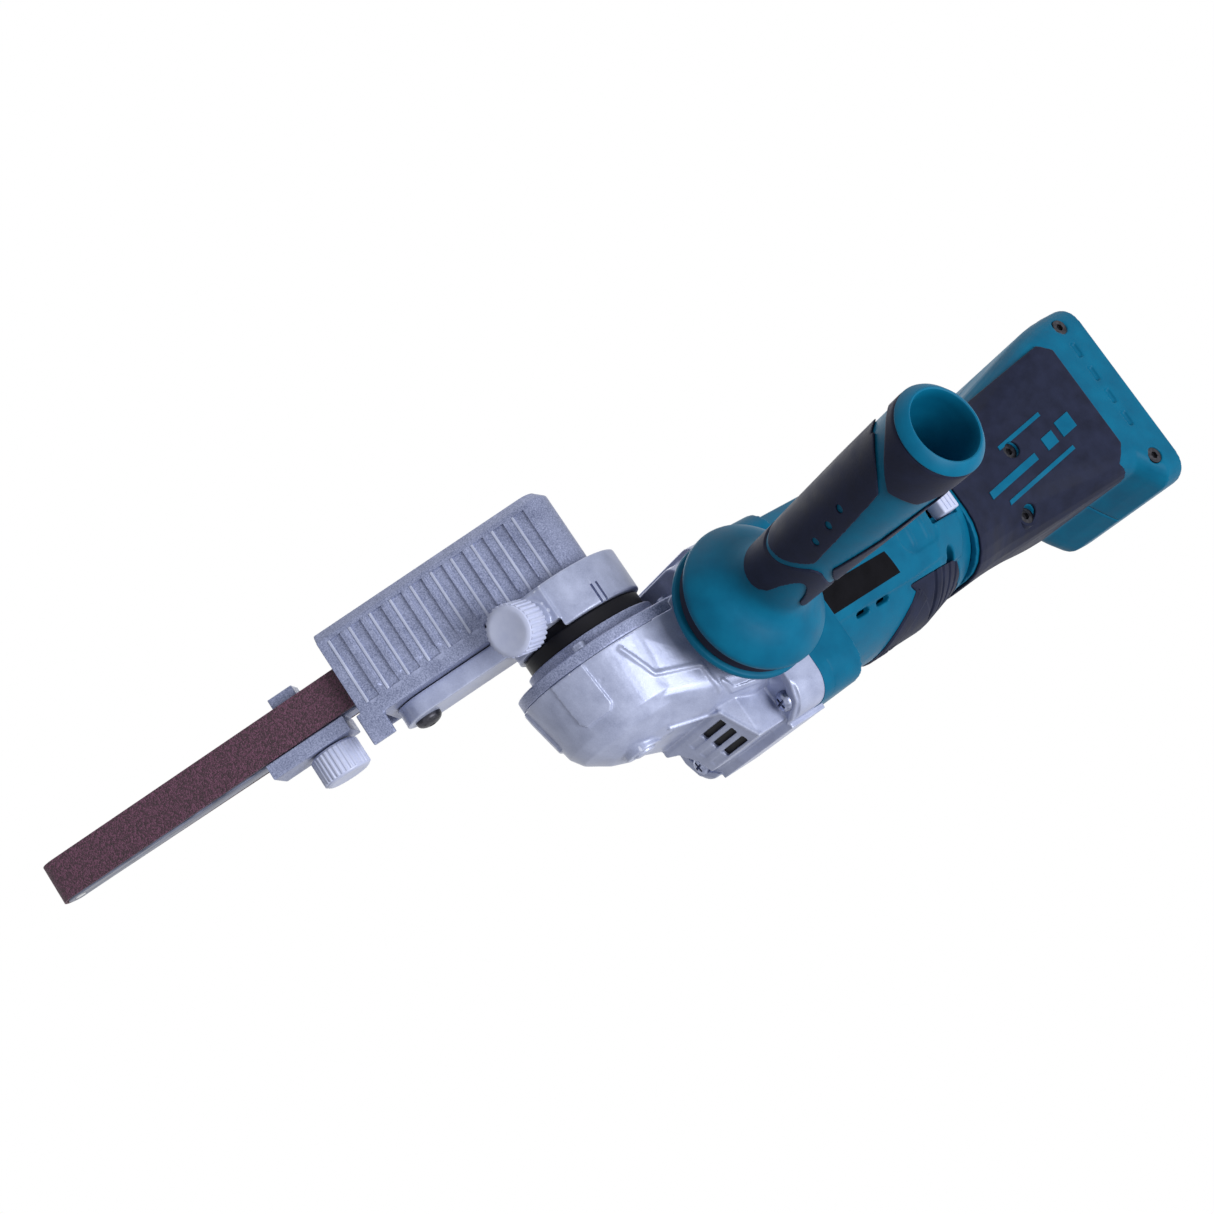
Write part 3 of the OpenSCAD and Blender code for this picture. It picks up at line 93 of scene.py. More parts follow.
def mouldedFinish(name, look):
    material, tree, shader, where = newMaterial(name, look)
    patch = addNode(tree, "ShaderNodeTexNoise", {"Scale": perMm(look["patch"]), "Detail": 4},
                    {"Vector": where})
    grain = addNode(tree, "ShaderNodeTexNoise", {"Scale": perMm(look["grain"]), "Detail": 2},
                    {"Vector": where})
    tone = addNode(tree, "ShaderNodeValToRGB", {"tones": look["tones"]}, {"Fac": patch.outputs["Fac"]})
    tree.links.new(tone.outputs["Color"], shader.inputs["Base Color"])
    gloss = addNode(tree, "ShaderNodeMapRange",
                    {"From Min": 0.3, "From Max": 0.7, "To Min": look["rough"] - 0.05,
                     "To Max": look["rough"] + 0.07}, {"Value": patch.outputs["Fac"]})
    tree.links.new(gloss.outputs["Result"], shader.inputs["Roughness"])
    relief = addNode(tree, "ShaderNodeBump",
                     {"Strength": look.get("relief", 0.5), "Distance": look["depth"] * mm},
                     {"Height": grain.outputs["Fac"]})
    tree.links.new(relief.outputs["Normal"], shader.inputs["Normal"])
    return material


def machinedFinish(name, look):  # fine tool lines drawn out along one axis
    material, tree, shader, where = newMaterial(name, look)
    lines = addNode(tree, "ShaderNodeMapping", {"Scale": look["lines"]}, {"Vector": where})
    marks = addNode(tree, "ShaderNodeTexNoise", {"Scale": perMm(look["grain"]), "Detail": 3},
                    {"Vector": lines.outputs["Vector"]})
    tone = addNode(tree, "ShaderNodeValToRGB", {"tones": look["tones"]}, {"Fac": marks.outputs["Fac"]})
    tree.links.new(tone.outputs["Color"], shader.inputs["Base Color"])
    gloss = addNode(tree, "ShaderNodeMapRange",
                    {"To Min": look["rough"] - 0.08, "To Max": look["rough"] + 0.12},
                    {"Value": marks.outputs["Fac"]})
    tree.links.new(gloss.outputs["Result"], shader.inputs["Roughness"])
    relief = addNode(tree, "ShaderNodeBump", {"Strength": 0.3, "Distance": look["depth"] * mm},
                     {"Height": marks.outputs["Fac"]})
    tree.links.new(relief.outputs["Normal"], shader.inputs["Normal"])
    return material


def castFinish(name, look):  # metal flake as a fine speckle over a cast skin, with a painted highlight along its edges
    material, tree, shader, where = newMaterial(name, look)
    flake = addNode(tree, "ShaderNodeTexNoise",
                    {"Scale": perMm(look["flake"]), "Detail": 3, "Roughness": 0.7}, {"Vector": where})
    clouds = addNode(tree, "ShaderNodeTexNoise", {"Scale": perMm(look["cloud"]), "Detail": 3},
                     {"Vector": where})
    blended = addNode(tree, "ShaderNodeMix", {"data_type": "FLOAT", 0: look["cloudShare"]},
                      {2: flake.outputs["Fac"], 3: clouds.outputs["Fac"]})
    tone = addNode(tree, "ShaderNodeValToRGB", {"tones": look["tones"]}, {"Fac": blended.outputs[0]})
    # painted highlight: where the mesh is pointy, on convex edges, the colour is mixed towards the pale edge
    # colour
    edgeHighlightMask = addNode(tree, "ShaderNodeMapRange", {"From Min": 0.52, "From Max": 0.6, "To Max": 0.6},
                      {"Value": addNode(tree, "ShaderNodeNewGeometry").outputs["Pointiness"]})
    edgeHighlighted = addNode(tree, "ShaderNodeMix", {"data_type": "RGBA", 7: hexColour(look["edge"])},
                     {0: edgeHighlightMask.outputs["Result"], 6: tone.outputs["Color"]})
    tree.links.new(edgeHighlighted.outputs[2], shader.inputs["Base Color"])
    gloss = addNode(tree, "ShaderNodeMapRange",
                    {"From Min": 0.3, "From Max": 0.7, "To Min": look["rough"] - 0.06,
                     "To Max": look["rough"] + 0.1}, {"Value": clouds.outputs["Fac"]})
    tree.links.new(gloss.outputs["Result"], shader.inputs["Roughness"])
    peel = addNode(tree, "ShaderNodeTexNoise", {"Scale": perMm(look["peel"]), "Detail": 4, "Roughness": 0.6},
                   {"Vector": where})
    skin = addNode(tree, "ShaderNodeBump", {"Strength": look["relief"], "Distance": look["depth"] * mm},
                   {"Height": peel.outputs["Fac"]})
    tree.links.new(skin.outputs["Normal"], shader.inputs["Normal"])
    return material


# Die-cast aluminium under silver lacquer: smooth, softly clouded, with a wavy cast skin and a painted
# highlight on its edges
castAluminium = castFinish("lacqueredCastAluminium", {
    "tones": ((0.32, "#939BB9"), (0.68, "#B4BCD9")), "edge": "#E2E8FA", "flake": 0.5,
    "cloud": 7, "cloudShare": 0.6, "peel": 2.6, "relief": 0.35, "depth": 0.22, "rough": 0.34, "metal": 0.2,
    "shine": 0.25})
# The same casting left shot-blasted on the file head: a close dark and light grain, drawn coarser to show
# its painted edge highlight is only as pale as its light grain
blastedAluminium = castFinish("shotBlastedAluminium", {
    "tones": ((0.36, "#646C8B"), (0.64, "#A3ABCB")), "edge": "#A3ABCB", "flake": 0.5,
    "cloud": 9, "cloudShare": 0.2, "peel": 0.7, "relief": 0.5, "depth": 0.12, "rough": 0.42, "metal": 0.3,
    "shine": 0.3})

# Glass-filled nylon, moulded against a spark-eroded tool: an even satin skin with a fine sandy grain
tealNylon = mouldedFinish("mouldedTealNylon", {
    "tones": ((0.3, "#045A7C"), (0.7, "#07678A")), "patch": 9, "grain": 0.5, "depth": 0.05,
    "rough": 0.44, "shine": 0.1})
# Soft thermoplastic rubber moulded over the nylon: matt, faintly violet black that scuffs lighter
gripRubber = mouldedFinish("overmouldedRubber", {
    "tones": ((0.3, "#1A1E30"), (0.72, "#252A40")), "patch": 6, "grain": 0.6, "depth": 0.09,
    "rough": 0.56, "shine": 0.09})
# Plain black nylon for the collar and the inner carriers: a touch glossier than the rubber
blackNylon = mouldedFinish("mouldedBlackNylon", {
    "tones": ((0.3, "#121217"), (0.7, "#1A1A20")), "patch": 8, "grain": 0.5, "depth": 0.05,
    "rough": 0.45, "shine": 0.12})
# Pale grey ABS of the knobs and the switch: close-grained and slightly glossy
greyAbs = mouldedFinish("mouldedGreyAbs", {
    "tones": ((0.3, "#BAC2E2"), (0.7, "#C8CFEB")), "patch": 5, "grain": 0.5, "depth": 0.04,
    "rough": 0.4})
# Black polyester label film with a satin overlaminate
labelFilm = mouldedFinish("polyesterLabelFilm", {
    "tones": ((0.3, "#07070C"), (0.7, "#0D0D13")), "patch": 7, "grain": 1.2, "depth": 0.02,
    "rough": 0.3, "shine": 0.06})
# Polyurethane tyre of the drive wheel, scuffed by the belt
wheelRubber = mouldedFinish("polyurethaneTyre", {
    "tones": ((0.35, "#1C1A1C"), (0.7, "#3A3536")), "patch": 2.5, "grain": 0.7, "depth": 0.1,
    "rough": 0.62})
# Epoxy and glass circuit board under green solder resist
circuitBoard = mouldedFinish("glassEpoxyBoard", {
    "tones": ((0.35, "#174D31"), (0.65, "#22633F")), "patch": 3, "grain": 0.8, "depth": 0.04,
    "rough": 0.35})
# Enamelled copper wire of the windings: round wires lie side by side as close ridges
copperWire = mouldedFinish("enamelledCopper", {
    "tones": ((0.35, "#7A3F1E"), (0.65, "#C27B45")), "patch": 1.2, "grain": 0.9, "depth": 0.25,
    "rough": 0.3, "metal": 0.9, "relief": 0.9})
# Turned and ground shaft steel: bright, with fine lines from the tool
groundSteel = machinedFinish("groundSteel", {
    "tones": ((0.3, "#9A9CA2"), (0.7, "#C6C7CB")), "lines": (1, 1, 0.1), "grain": 0.5,
    "depth": 0.02, "rough": 0.25, "metal": 1})
# Zinc-plated screws: bluish grey, a little clouded
zincSteel = machinedFinish("zincPlatedSteel", {
    "tones": ((0.3, "#6A7088"), (0.7, "#99A0BA")), "lines": (1, 1, 1), "grain": 1.1,
    "depth": 0.03, "rough": 0.34, "metal": 1})
# Phosphated steel of the bolt, gears and core: near black with an oily grey bloom
blackSteel = machinedFinish("phosphatedSteel", {
    "tones": ((0.3, "#2C2C31"), (0.7, "#4A4A52")), "lines": (1, 1, 1), "grain": 1.3,
    "depth": 0.04, "rough": 0.4, "metal": 0.85})
# Rolled strip steel of the belt arm: rolling lines run along it
stripSteel = machinedFinish("rolledStripSteel", {
    "tones": ((0.25, "#484C5C"), (0.75, "#747A90")), "lines": (0.15, 0.15, 1), "grain": 0.7,
    "depth": 0.03, "rough": 0.36, "metal": 0.95})

# Aluminium-oxide grit on cotton cloth: maroon resin with light and dark grains in it, drawn coarser to show
gritLook = {"tones": ((0.25, "#2E1624"), (0.85, "#643C54")), "grit": 0.5, "sink": -1.4,
            "relief": 0.8, "depth": 0.22, "rough": 0.62}
gritCloth, tree, shader, where = newMaterial("aluminiumOxideCloth", gritLook)
shader.inputs["Roughness"].default_value = gritLook["rough"]
grit = addNode(tree, "ShaderNodeTexVoronoi", {"Scale": perMm(gritLook["grit"]), "Randomness": 1},
               {"Vector": where})
grainTone = addNode(tree, "ShaderNodeSeparateColor", {}, {"Color": grit.outputs["Color"]})
tone = addNode(tree, "ShaderNodeValToRGB", {"tones": gritLook["tones"]}, {"Fac": grainTone.outputs["Red"]})
tree.links.new(tone.outputs["Color"], shader.inputs["Base Color"])
standing = addNode(tree, "ShaderNodeMath", {"operation": "MULTIPLY_ADD", 1: gritLook["sink"]},
                   {0: grit.outputs["Distance"], 2: grainTone.outputs["Green"]})
rasp = addNode(tree, "ShaderNodeBump", {"Strength": gritLook["relief"], "Distance": gritLook["depth"] * mm},
               {"Height": standing.outputs["Value"]})
tree.links.new(rasp.outputs["Normal"], shader.inputs["Normal"])
# The belt's back: brown-grey cotton twill, its ribs sized in the cloth
twillLook = {"tones": ((0.25, "#5B4A45"), (0.75, "#7D6A62")), "rib": 0.9, "bands": 6.3,
             "wander": 0.6, "relief": 0.5, "depth": 0.15, "rough": 0.85}
twillBack, tree, shader, where = newMaterial("cottonTwillBacking", twillLook)
shader.inputs["Roughness"].default_value = twillLook["rough"]
ribs = addNode(tree, "ShaderNodeTexWave",
               {"wave_type": "BANDS", "bands_direction": "DIAGONAL", "Distortion": twillLook["wander"],
                "Scale": perMm(twillLook["rib"]) / twillLook["bands"]}, {"Vector": where})
tone = addNode(tree, "ShaderNodeValToRGB", {"tones": twillLook["tones"]}, {"Fac": ribs.outputs["Fac"]})
tree.links.new(tone.outputs["Color"], shader.inputs["Base Color"])
weave = addNode(tree, "ShaderNodeBump",
                {"Strength": twillLook["relief"], "Distance": twillLook["depth"] * mm},
                {"Height": ribs.outputs["Fac"]})
tree.links.new(weave.outputs["Normal"], shader.inputs["Normal"])
print("materials:", len(bpy.data.materials))

finishes = {
    "gear_housing": castAluminium, "bearing_plate": blastedAluminium, "file_bracket": blastedAluminium,
    "belt_cover": blastedAluminium, "arm_holder": blastedAluminium, "neck_collar": blackNylon,
    "plate_screws": zincSteel, "flange_screws": zincSteel, "spindle_bearing": groundSteel,
    "spindle_bush": copperWire, "lock_spring": groundSteel, "stator_core": blackSteel,
    "stator_windings": copperWire, "front_motor_bearing": groundSteel, "rear_motor_bearing": groundSteel,
    "motor_housing": tealNylon, "rating_label": labelFilm, "rear_bumper": gripRubber,
    "handle_shell_left": tealNylon, "handle_shell_right": tealNylon, "grip_panel_left": gripRubber,
    "grip_panel_right": gripRubber, "handle_screws": blackSteel, "switch_module": blackNylon,
    "control_board": circuitBoard, "terminal_block": blackNylon, "terminal_blades": copperWire,
    "side_handle_stud": zincSteel, "side_rear_disc": tealNylon, "side_damper_ring": gripRubber,
    "side_handle_core": tealNylon, "side_grip_sleeve": gripRubber, "spindle": groundSteel,
    "crown_gear": blackSteel, "drive_wheel_hub": groundSteel, "drive_wheel_tyre": wheelRubber,
    "wheel_nut": zincSteel, "rotor_shaft": groundSteel, "pinion": blackSteel, "rotor_core": blackSteel,
    "cooling_fan": blackNylon, "lock_button": castAluminium, "switch_slider": greyAbs,
    "switch_rod": groundSteel, "cover_bolt": blackSteel, "tension_guide": zincSteel,
    "tension_spring": groundSteel, "abrasive_belt": gritCloth, "tension_rod": groundSteel,
    "arm_bar": stripSteel, "idler_axle": groundSteel, "idler_pulley": groundSteel, "clamp_knob": greyAbs,
    "clamp_screw": groundSteel, "tracking_knob": greyAbs, "tracking_screw": zincSteel}
for node, material in finishes.items():
    for place in frame["nodes"][node].material_slots:
        place.material = material
print("finishes on", len(finishes), "nodes")


def pickNothing():
    if bpy.context.object and bpy.context.object.mode != "OBJECT":
        bpy.ops.object.mode_set(mode="OBJECT")
    bpy.ops.object.select_all(action="DESELECT")


def pick(piece):
    pickNothing()
    piece.select_set(True)
    bpy.context.view_layer.objects.active = piece


def applyModifier(piece, kind, **settings):
    pick(piece)
    bpy.ops.object.modifier_add(type=kind)
    modifier = piece.modifiers[-1]
    for key, value in settings.items():
        setattr(modifier, key, value)
    bpy.ops.object.modifier_apply(modifier=modifier.name)


def layIn(piece, place):  # moves a piece modelled about the origin to its place, kept in its mesh
    piece.matrix_world = place
    pick(piece)
    bpy.ops.object.transform_apply(location=True, rotation=True, scale=True)
    return piece


def copyNode(node, name):  # a merged copy of a CAD node to be shaped further
    piece = bpy.data.objects.new(name, frame["nodes"][node].data.copy())
    bpy.context.scene.collection.objects.link(piece)
    pick(piece)
    bpy.ops.object.mode_set(mode="EDIT")
    bpy.ops.mesh.select_all(action="SELECT")
    bpy.ops.mesh.remove_doubles(threshold=0.002 * mm)
    bpy.ops.object.mode_set(mode="OBJECT")
    return piece


def addBlock(name, low, high, edge=0.0, rounds=3):  # a block from corner to corner in mm, its edges rounded
    pickNothing()
    bpy.ops.mesh.primitive_cube_add(size=1, location=[(a + b) / 2 * mm for a, b in zip(low, high)],
                                    scale=[(b - a) * mm for a, b in zip(low, high)])
    piece = bpy.context.object
    piece.name = name
    bpy.ops.object.transform_apply(location=True, rotation=True, scale=True)
    if edge:
        applyModifier(piece, "BEVEL", width=edge * mm, segments=rounds, limit_method="NONE")
    return piece


def drawPath(name, points):  # edges through the points in mm, all selected and still in edit mode
    pickNothing()
    bpy.ops.mesh.primitive_plane_add(size=mm)
    piece = bpy.context.object
    piece.name = name
    bpy.ops.object.mode_set(mode="EDIT")
    bpy.ops.mesh.select_all(action="SELECT")
    bpy.ops.mesh.merge(type="CENTER")
    bpy.ops.transform.translate(value=[place * mm for place in points[0]])
    for here, there in zip(points, points[1:]):
        step = [(b - a) * mm for a, b in zip(here, there)]
        bpy.ops.mesh.extrude_region_move(TRANSFORM_OT_translate={"value": step})
    bpy.ops.mesh.select_all(action="SELECT")
    return piece


def turnProfile(name, profile, steps):  # (radius, height) pairs in mm, spun about Z
    piece = drawPath(name, [(radius, 0, height) for radius, height in profile])
    bpy.ops.mesh.spin(steps=steps, angle=2 * math.pi, center=(0, 0, 0), axis=(0, 0, 1))
    bpy.ops.mesh.select_all(action="SELECT")
    bpy.ops.mesh.remove_doubles(threshold=0.002 * mm)
    bpy.ops.mesh.normals_make_consistent(inside=False)
    bpy.ops.object.mode_set(mode="OBJECT")
    return piece


def addOutline(name, corners, low, high, edge=0.0, rounds=3):  # a flat outline, drawn out from low to high
    piece = drawPath(name, [(across, up, low) for across, up in corners])
    bpy.ops.mesh.edge_face_add()
    bpy.ops.mesh.extrude_region_move(TRANSFORM_OT_translate={"value": (0, 0, (high - low) * mm)})
    bpy.ops.mesh.select_all(action="SELECT")
    bpy.ops.mesh.normals_make_consistent(inside=False)
    bpy.ops.object.mode_set(mode="OBJECT")
    if edge:
        applyModifier(piece, "BEVEL", width=edge * mm, segments=rounds, limit_method="ANGLE",
                      angle_limit=math.radians(25))
    return piece


def strokeOutline(points, width):  # the outline of a line of this width drawn through the points
    sides = ([], [])
    for i, point in enumerate(points):
        first = max(i - 1, 0)
        pairs = zip(points[first:i + 1], points[first + 1:i + 2])
        legs = [(Vector(b) - Vector(a)).normalized() for a, b in pairs]
        across = sum((Vector((-leg.y, leg.x)) for leg in legs), Vector((0, 0))).normalized()
        reach = width / 2 / max(across.dot(Vector((-legs[0].y, legs[0].x))), 0.4)
        sides[0].append(tuple(Vector(point) - across * reach))
        sides[1].append(tuple(Vector(point) + across * reach))
    return sides[0] + sides[1][::-1]


def addBar(name, start, end, wide, place):  # a square bar with eased edges between two points in mm
    run = Vector(end) - Vector(start)
    half = wide / 2
    bar = addBlock(name, (-half, -half, -half), (half, half, run.length + half), wide * 0.2)
    turn = run.to_track_quat("Z", "Y").to_matrix().to_4x4()
    return layIn(bar, place @ Matrix.Translation(Vector(start) * mm) @ turn)


def joinTo(piece, others):
    pick(piece)
    for other in others:
        other.select_set(True)
    bpy.ops.object.join()


def cutAway(piece, tools):  # takes the tools' shapes out of the piece
    for tool in tools:
        applyModifier(piece, "BOOLEAN", operation="DIFFERENCE", solver="EXACT", object=tool)
        pick(tool)
        bpy.ops.object.delete()


def copyOf(piece, name):
    twin = bpy.data.objects.new(name, piece.data.copy())
    bpy.context.scene.collection.objects.link(twin)
    return twin


def liftedSkin(piece, tool, lift):  # what lies inside the tool once the piece's skin is moved out by lift mm
    skin = copyOf(piece, tool.name + "Skin")
    applyModifier(skin, "DISPLACE", strength=lift * mm, mid_level=0)
    applyModifier(skin, "BOOLEAN", operation="INTERSECT", solver="EXACT", object=tool)
    pick(tool)
    bpy.ops.object.delete()
    return skin


def sinkInto(piece, tool, depth):  # lowers the piece's skin inside the tool by depth mm
    core = copyOf(piece, "core")
    applyModifier(core, "DISPLACE", strength=-depth * mm, mid_level=0)
    cutAway(tool, [core])
    cutAway(piece, [tool])


def roundEdges(piece, place, width, rounds, chosen):  # rounds the edges whose two ends, in mm, pass the test
    pick(piece)
    bpy.ops.object.mode_set(mode="EDIT")
    bpy.ops.mesh.select_all(action="SELECT")
    bpy.ops.mesh.dissolve_limited(angle_limit=math.radians(2))
    bpy.ops.mesh.select_mode(type="EDGE")
    bpy.ops.mesh.select_all(action="DESELECT")
    bpy.ops.object.mode_set(mode="OBJECT")
    back = place.inverted()
    for edge in piece.data.edges:
        edge.select = all(chosen(*(back @ piece.data.vertices[end].co / mm)) for end in edge.vertices)
    bpy.ops.object.mode_set(mode="EDIT")
    bpy.ops.mesh.bevel(offset=width * mm, segments=rounds)
    bpy.ops.mesh.select_mode(type="VERT")
    bpy.ops.object.mode_set(mode="OBJECT")


def roundOver(piece, look):  # softens every edge as a casting or moulding has it
    applyModifier(piece, "REMESH", mode="VOXEL", voxel_size=look["voxel"] * mm)
    applyModifier(piece, "SMOOTH", factor=0.5, iterations=look["passes"])
    applyModifier(piece, "DECIMATE", ratio=look["keep"])
    bpy.ops.object.shade_smooth()


def shadeEdges(piece, angle=32):
    pick(piece)
    bpy.ops.object.shade_smooth_by_angle(angle=math.radians(angle))


def fit(piece, body, material, slot, *nodes):  # its finish, body and the nodes it stands for; slot is not used
    piece.data.materials.clear()
    piece.data.materials.append(material)
    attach(piece, body)
    if nodes:
        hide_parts(*nodes)
    print("piece", piece.name, len(piece.data.polygons), "faces")


# Main frames, in mm and degrees: motor (x up, y to the handle, z rearwards), file head and side handle
axisX, axisZ, beltZ, swing, sideX = 41.5, 43, 99, -33.4, 10.5
clampKnobAt = {"down": 20.485, "turn": 60, "out": 29.6}
trackKnobAt = {"along": 96.5, "down": 14.5}
motorFrame = Matrix(((0, 0, -1, axisX * mm), (0, 1, 0, 0), (1, 0, 0, axisZ * mm), (0, 0, 0, 1)))
fileFrame = Matrix.Translation((axisX * mm, 0, beltZ * mm)) @ Matrix.Rotation(math.radians(swing), 4, "Z")
spindleFrame = Matrix.Translation((axisX * mm, 0, axisZ * mm))
sideFrame = Matrix.Translation((sideX * mm, 0, axisZ * mm)) @ Matrix.Rotation(math.radians(-90), 4, "X")
# Looking along the handle's axis: x rearwards, y up, z outwards
flankFrame = Matrix(((-1, 0, 0, axisX * mm), (0, 0, 1, 0), (0, 1, 0, axisZ * mm), (0, 0, 0, 1)))
clampFrame = (fileFrame @ Matrix.Translation((0, 0, -clampKnobAt["down"] * mm))
              @ Matrix.Rotation(math.radians(clampKnobAt["turn"]), 4, "Z")
              @ Matrix.Rotation(math.radians(90), 4, "Y")
              @ Matrix.Translation((0, 0, clampKnobAt["out"] * mm)))
trackFrame = (fileFrame @ Matrix.Translation((trackKnobAt["along"] * mm, 0, -trackKnobAt["down"] * mm))
              @ Matrix.Rotation(math.radians(180), 4, "X"))
mirrorY = Matrix.Diagonal((1, -1, 1, 1))


def bothFlanks(name, corners, low, high, side):  # a flank outline drawn out sideways, mirrored for side -1
    tool = layIn(addOutline(name, corners, low, high), flankFrame)
    if side < 0:
        layIn(tool, mirrorY)
        pick(tool)
        bpy.ops.object.mode_set(mode="EDIT")
        bpy.ops.mesh.select_all(action="SELECT")
        bpy.ops.mesh.normals_make_consistent(inside=False)
        bpy.ops.object.mode_set(mode="OBJECT")
    return tool


# Belt cover: a chamfered top edge, and shallow upright slots in its near face, each edged by a raised bead
# whose paler finish is a painted highlight
cover = {"topChamfer": 3.6, "topFrom": 19.95, "voxel": 0.45, "passes": 3, "keep": 0.35, "slots": 10,
         "first": 74.4, "pitch": 8.5, "slotWide": 4.4, "deep": 0.6, "low": -10.8, "high": 14.9, "face": 17.6,
         "bead": 0.9, "beadRise": 0.4, "beadRoot": 1, "beadLap": 0.2, "beadEdge": 0.3}
piece = copyNode("belt_cover", "beltCoverCasting")
roundEdges(piece, fileFrame, cover["topChamfer"], 1, lambda x, y, z: z > cover["topFrom"] and y > 0)
roundOver(piece, cover)
slots, beads = [], []
for i in range(cover["slots"]):
    front = cover["first"] - i * cover["pitch"]
    rear = cover["first"] - i * cover["pitch"] - cover["slotWide"]
    slot = addBlock("slot", (rear, cover["face"] - cover["deep"], cover["low"]),
                    (front, cover["face"] + 1, cover["high"]))
    slots.append(layIn(slot, fileFrame))
    bead = addBlock("bead", (front - cover["beadLap"], cover["face"] - cover["beadRoot"], cover["low"]),
                    (front + cover["bead"], cover["face"] + cover["beadRise"], cover["high"]),
                    cover["beadEdge"])
    beads.append(layIn(bead, fileFrame))
joinTo(slots[0], slots[1:])
cutAway(piece, slots[:1])
shadeEdges(piece, 40)
fit(piece, "file_head", blastedAluminium, "cast_aluminium", "belt_cover")
joinTo(beads[0], beads[1:])
beads[0].name = "beltCoverHighlightBeads"
shadeEdges(beads[0], 40)
# the beads are real relief; their paler lacquered finish, against the blasted cover, is a painted highlight
# along the slot edges
fit(beads[0], "file_head", castAluminium, "cast_aluminium")

# Clamp bracket: the split ring has two saw cuts, a thicker cheek and a step beside the clamp screw
bracket = {"voxel": 0.42, "passes": 3, "keep": 0.35, "ringOuter": 25, "cutTurns": (117.5, 122.5),
           "cutWide": 0.9, "cutDeep": 1.6, "cutLow": -30, "cutHigh": -20.5,
           "cheek": ((20.5, -9, -25.2), (25.9, 4.6, -12.2)), "cheekEdge": 0.4, "cheekTurn": 72,
           "notch": ((19, -6.2, -31), (30, 5.9, -24.7)), "notchTurn": 68.5}


def ringTurn(turn):  # the file head's frame, turned about the clamp ring
    return fileFrame @ Matrix.Rotation(math.radians(turn), 4, "Z")


piece = copyNode("file_bracket", "clampBracketCasting")
tools = []
for turn in bracket["cutTurns"]:
    low = (bracket["ringOuter"] - bracket["cutDeep"], -bracket["cutWide"] / 2, bracket["cutLow"])
    high = (bracket["ringOuter"] + 2, bracket["cutWide"] / 2, bracket["cutHigh"])
    tools.append(layIn(addBlock("sawCut", low, high), ringTurn(turn)))
cheek = addBlock("clampPad", *bracket["cheek"], bracket["cheekEdge"])  # the clamp screw pulls on it
joinTo(piece, [layIn(cheek, ringTurn(bracket["cheekTurn"]))])
roundOver(piece, bracket)
notch = addBlock("notch", *bracket["notch"])  # opens the ring under the clamp knob
tools.append(layIn(notch, ringTurn(bracket["notchTurn"])))
cutAway(piece, tools)
shadeEdges(piece, 40)
fit(piece, "file_head", castAluminium, "cast_aluminium", "file_bracket")

# Arm holder and bearing plate: plain castings with softened edges
plainCastings = {
    "arm_holder": {"name": "armHolderCasting", "body": "arm", "voxel": 0.35, "passes": 3, "keep": 0.4},
    "bearing_plate": {"name": "bearingPlateCasting", "body": "grinder", "voxel": 0.45, "passes": 3,
                      "keep": 0.35}}
for node, look in plainCastings.items():
    piece = copyNode(node, look["name"])
    roundOver(piece, look)
    fit(piece, look["body"], blastedAluminium, "cast_aluminium", node)

# Gear head: sunken troughs and ridges on both flanks, a nose pad, a lip on the vent step and a flange rim
gearHead = {
    "voxel": 0.38, "passes": 3, "keep": 0.28, "sink": 1.2, "flankReach": (20, 60),
    "flankPanel": ((-17.5, 10.6), (-16.4, -10), (-9.3, -14.2), (4, -17.3), (14.2, -19.6), (12.2, -13.8),
                   (11.6, -8.4), (-4.6, -3.1), (-11.4, 10.4)),
    "rearPanel": ((13.6, -8.6), (14.6, -14.5), (15.5, -17.4), (18.7, -21.3), (29.4, -23.5), (31.5, -24),
                  (31.5, -6)),
    "ridges": (((-11.6, 10.6), (-4.6, -3.0), (11.8, -8.3), (12.6, -14), (14.6, -19.8)),
               ((15.5, -16.4), (18.7, -21.3), (29.8, -23.6))), "ridgeWide": 1.3, "ridgeRise": 0.55,
    "nosePad": ((-7.2, -3), (-5.4, -5), (5.4, -5), (7.2, -3), (7.2, 12.6), (-7.2, 12.6)), "noseTurn": 33.5,
    "noseReach": (29, 45), "padRise": 0.9,
    "lipWide": 1.7, "lip": ((-2, -19.9, 15.2), (12.6, -23.2, 17.6), (14.3, -24.9, 21.6),
                            (19.9, -38.3, 25.4)),
    "rim": ((-41, 25), (-41, 30), (-37, 37.6), (-30, 41), (-16, 41), (-16, 37.2), (-29, 37.2), (-36, 33)),
    "rimSeat": 33, "rimRise": 1.2, "rimRear": 36, "rimEdge": 0.5,
    "plug": ((0, 3), (1.5, 3), (1.5, 8), (0, 8)), "plugTurn": 50, "plugOut": 29.7}
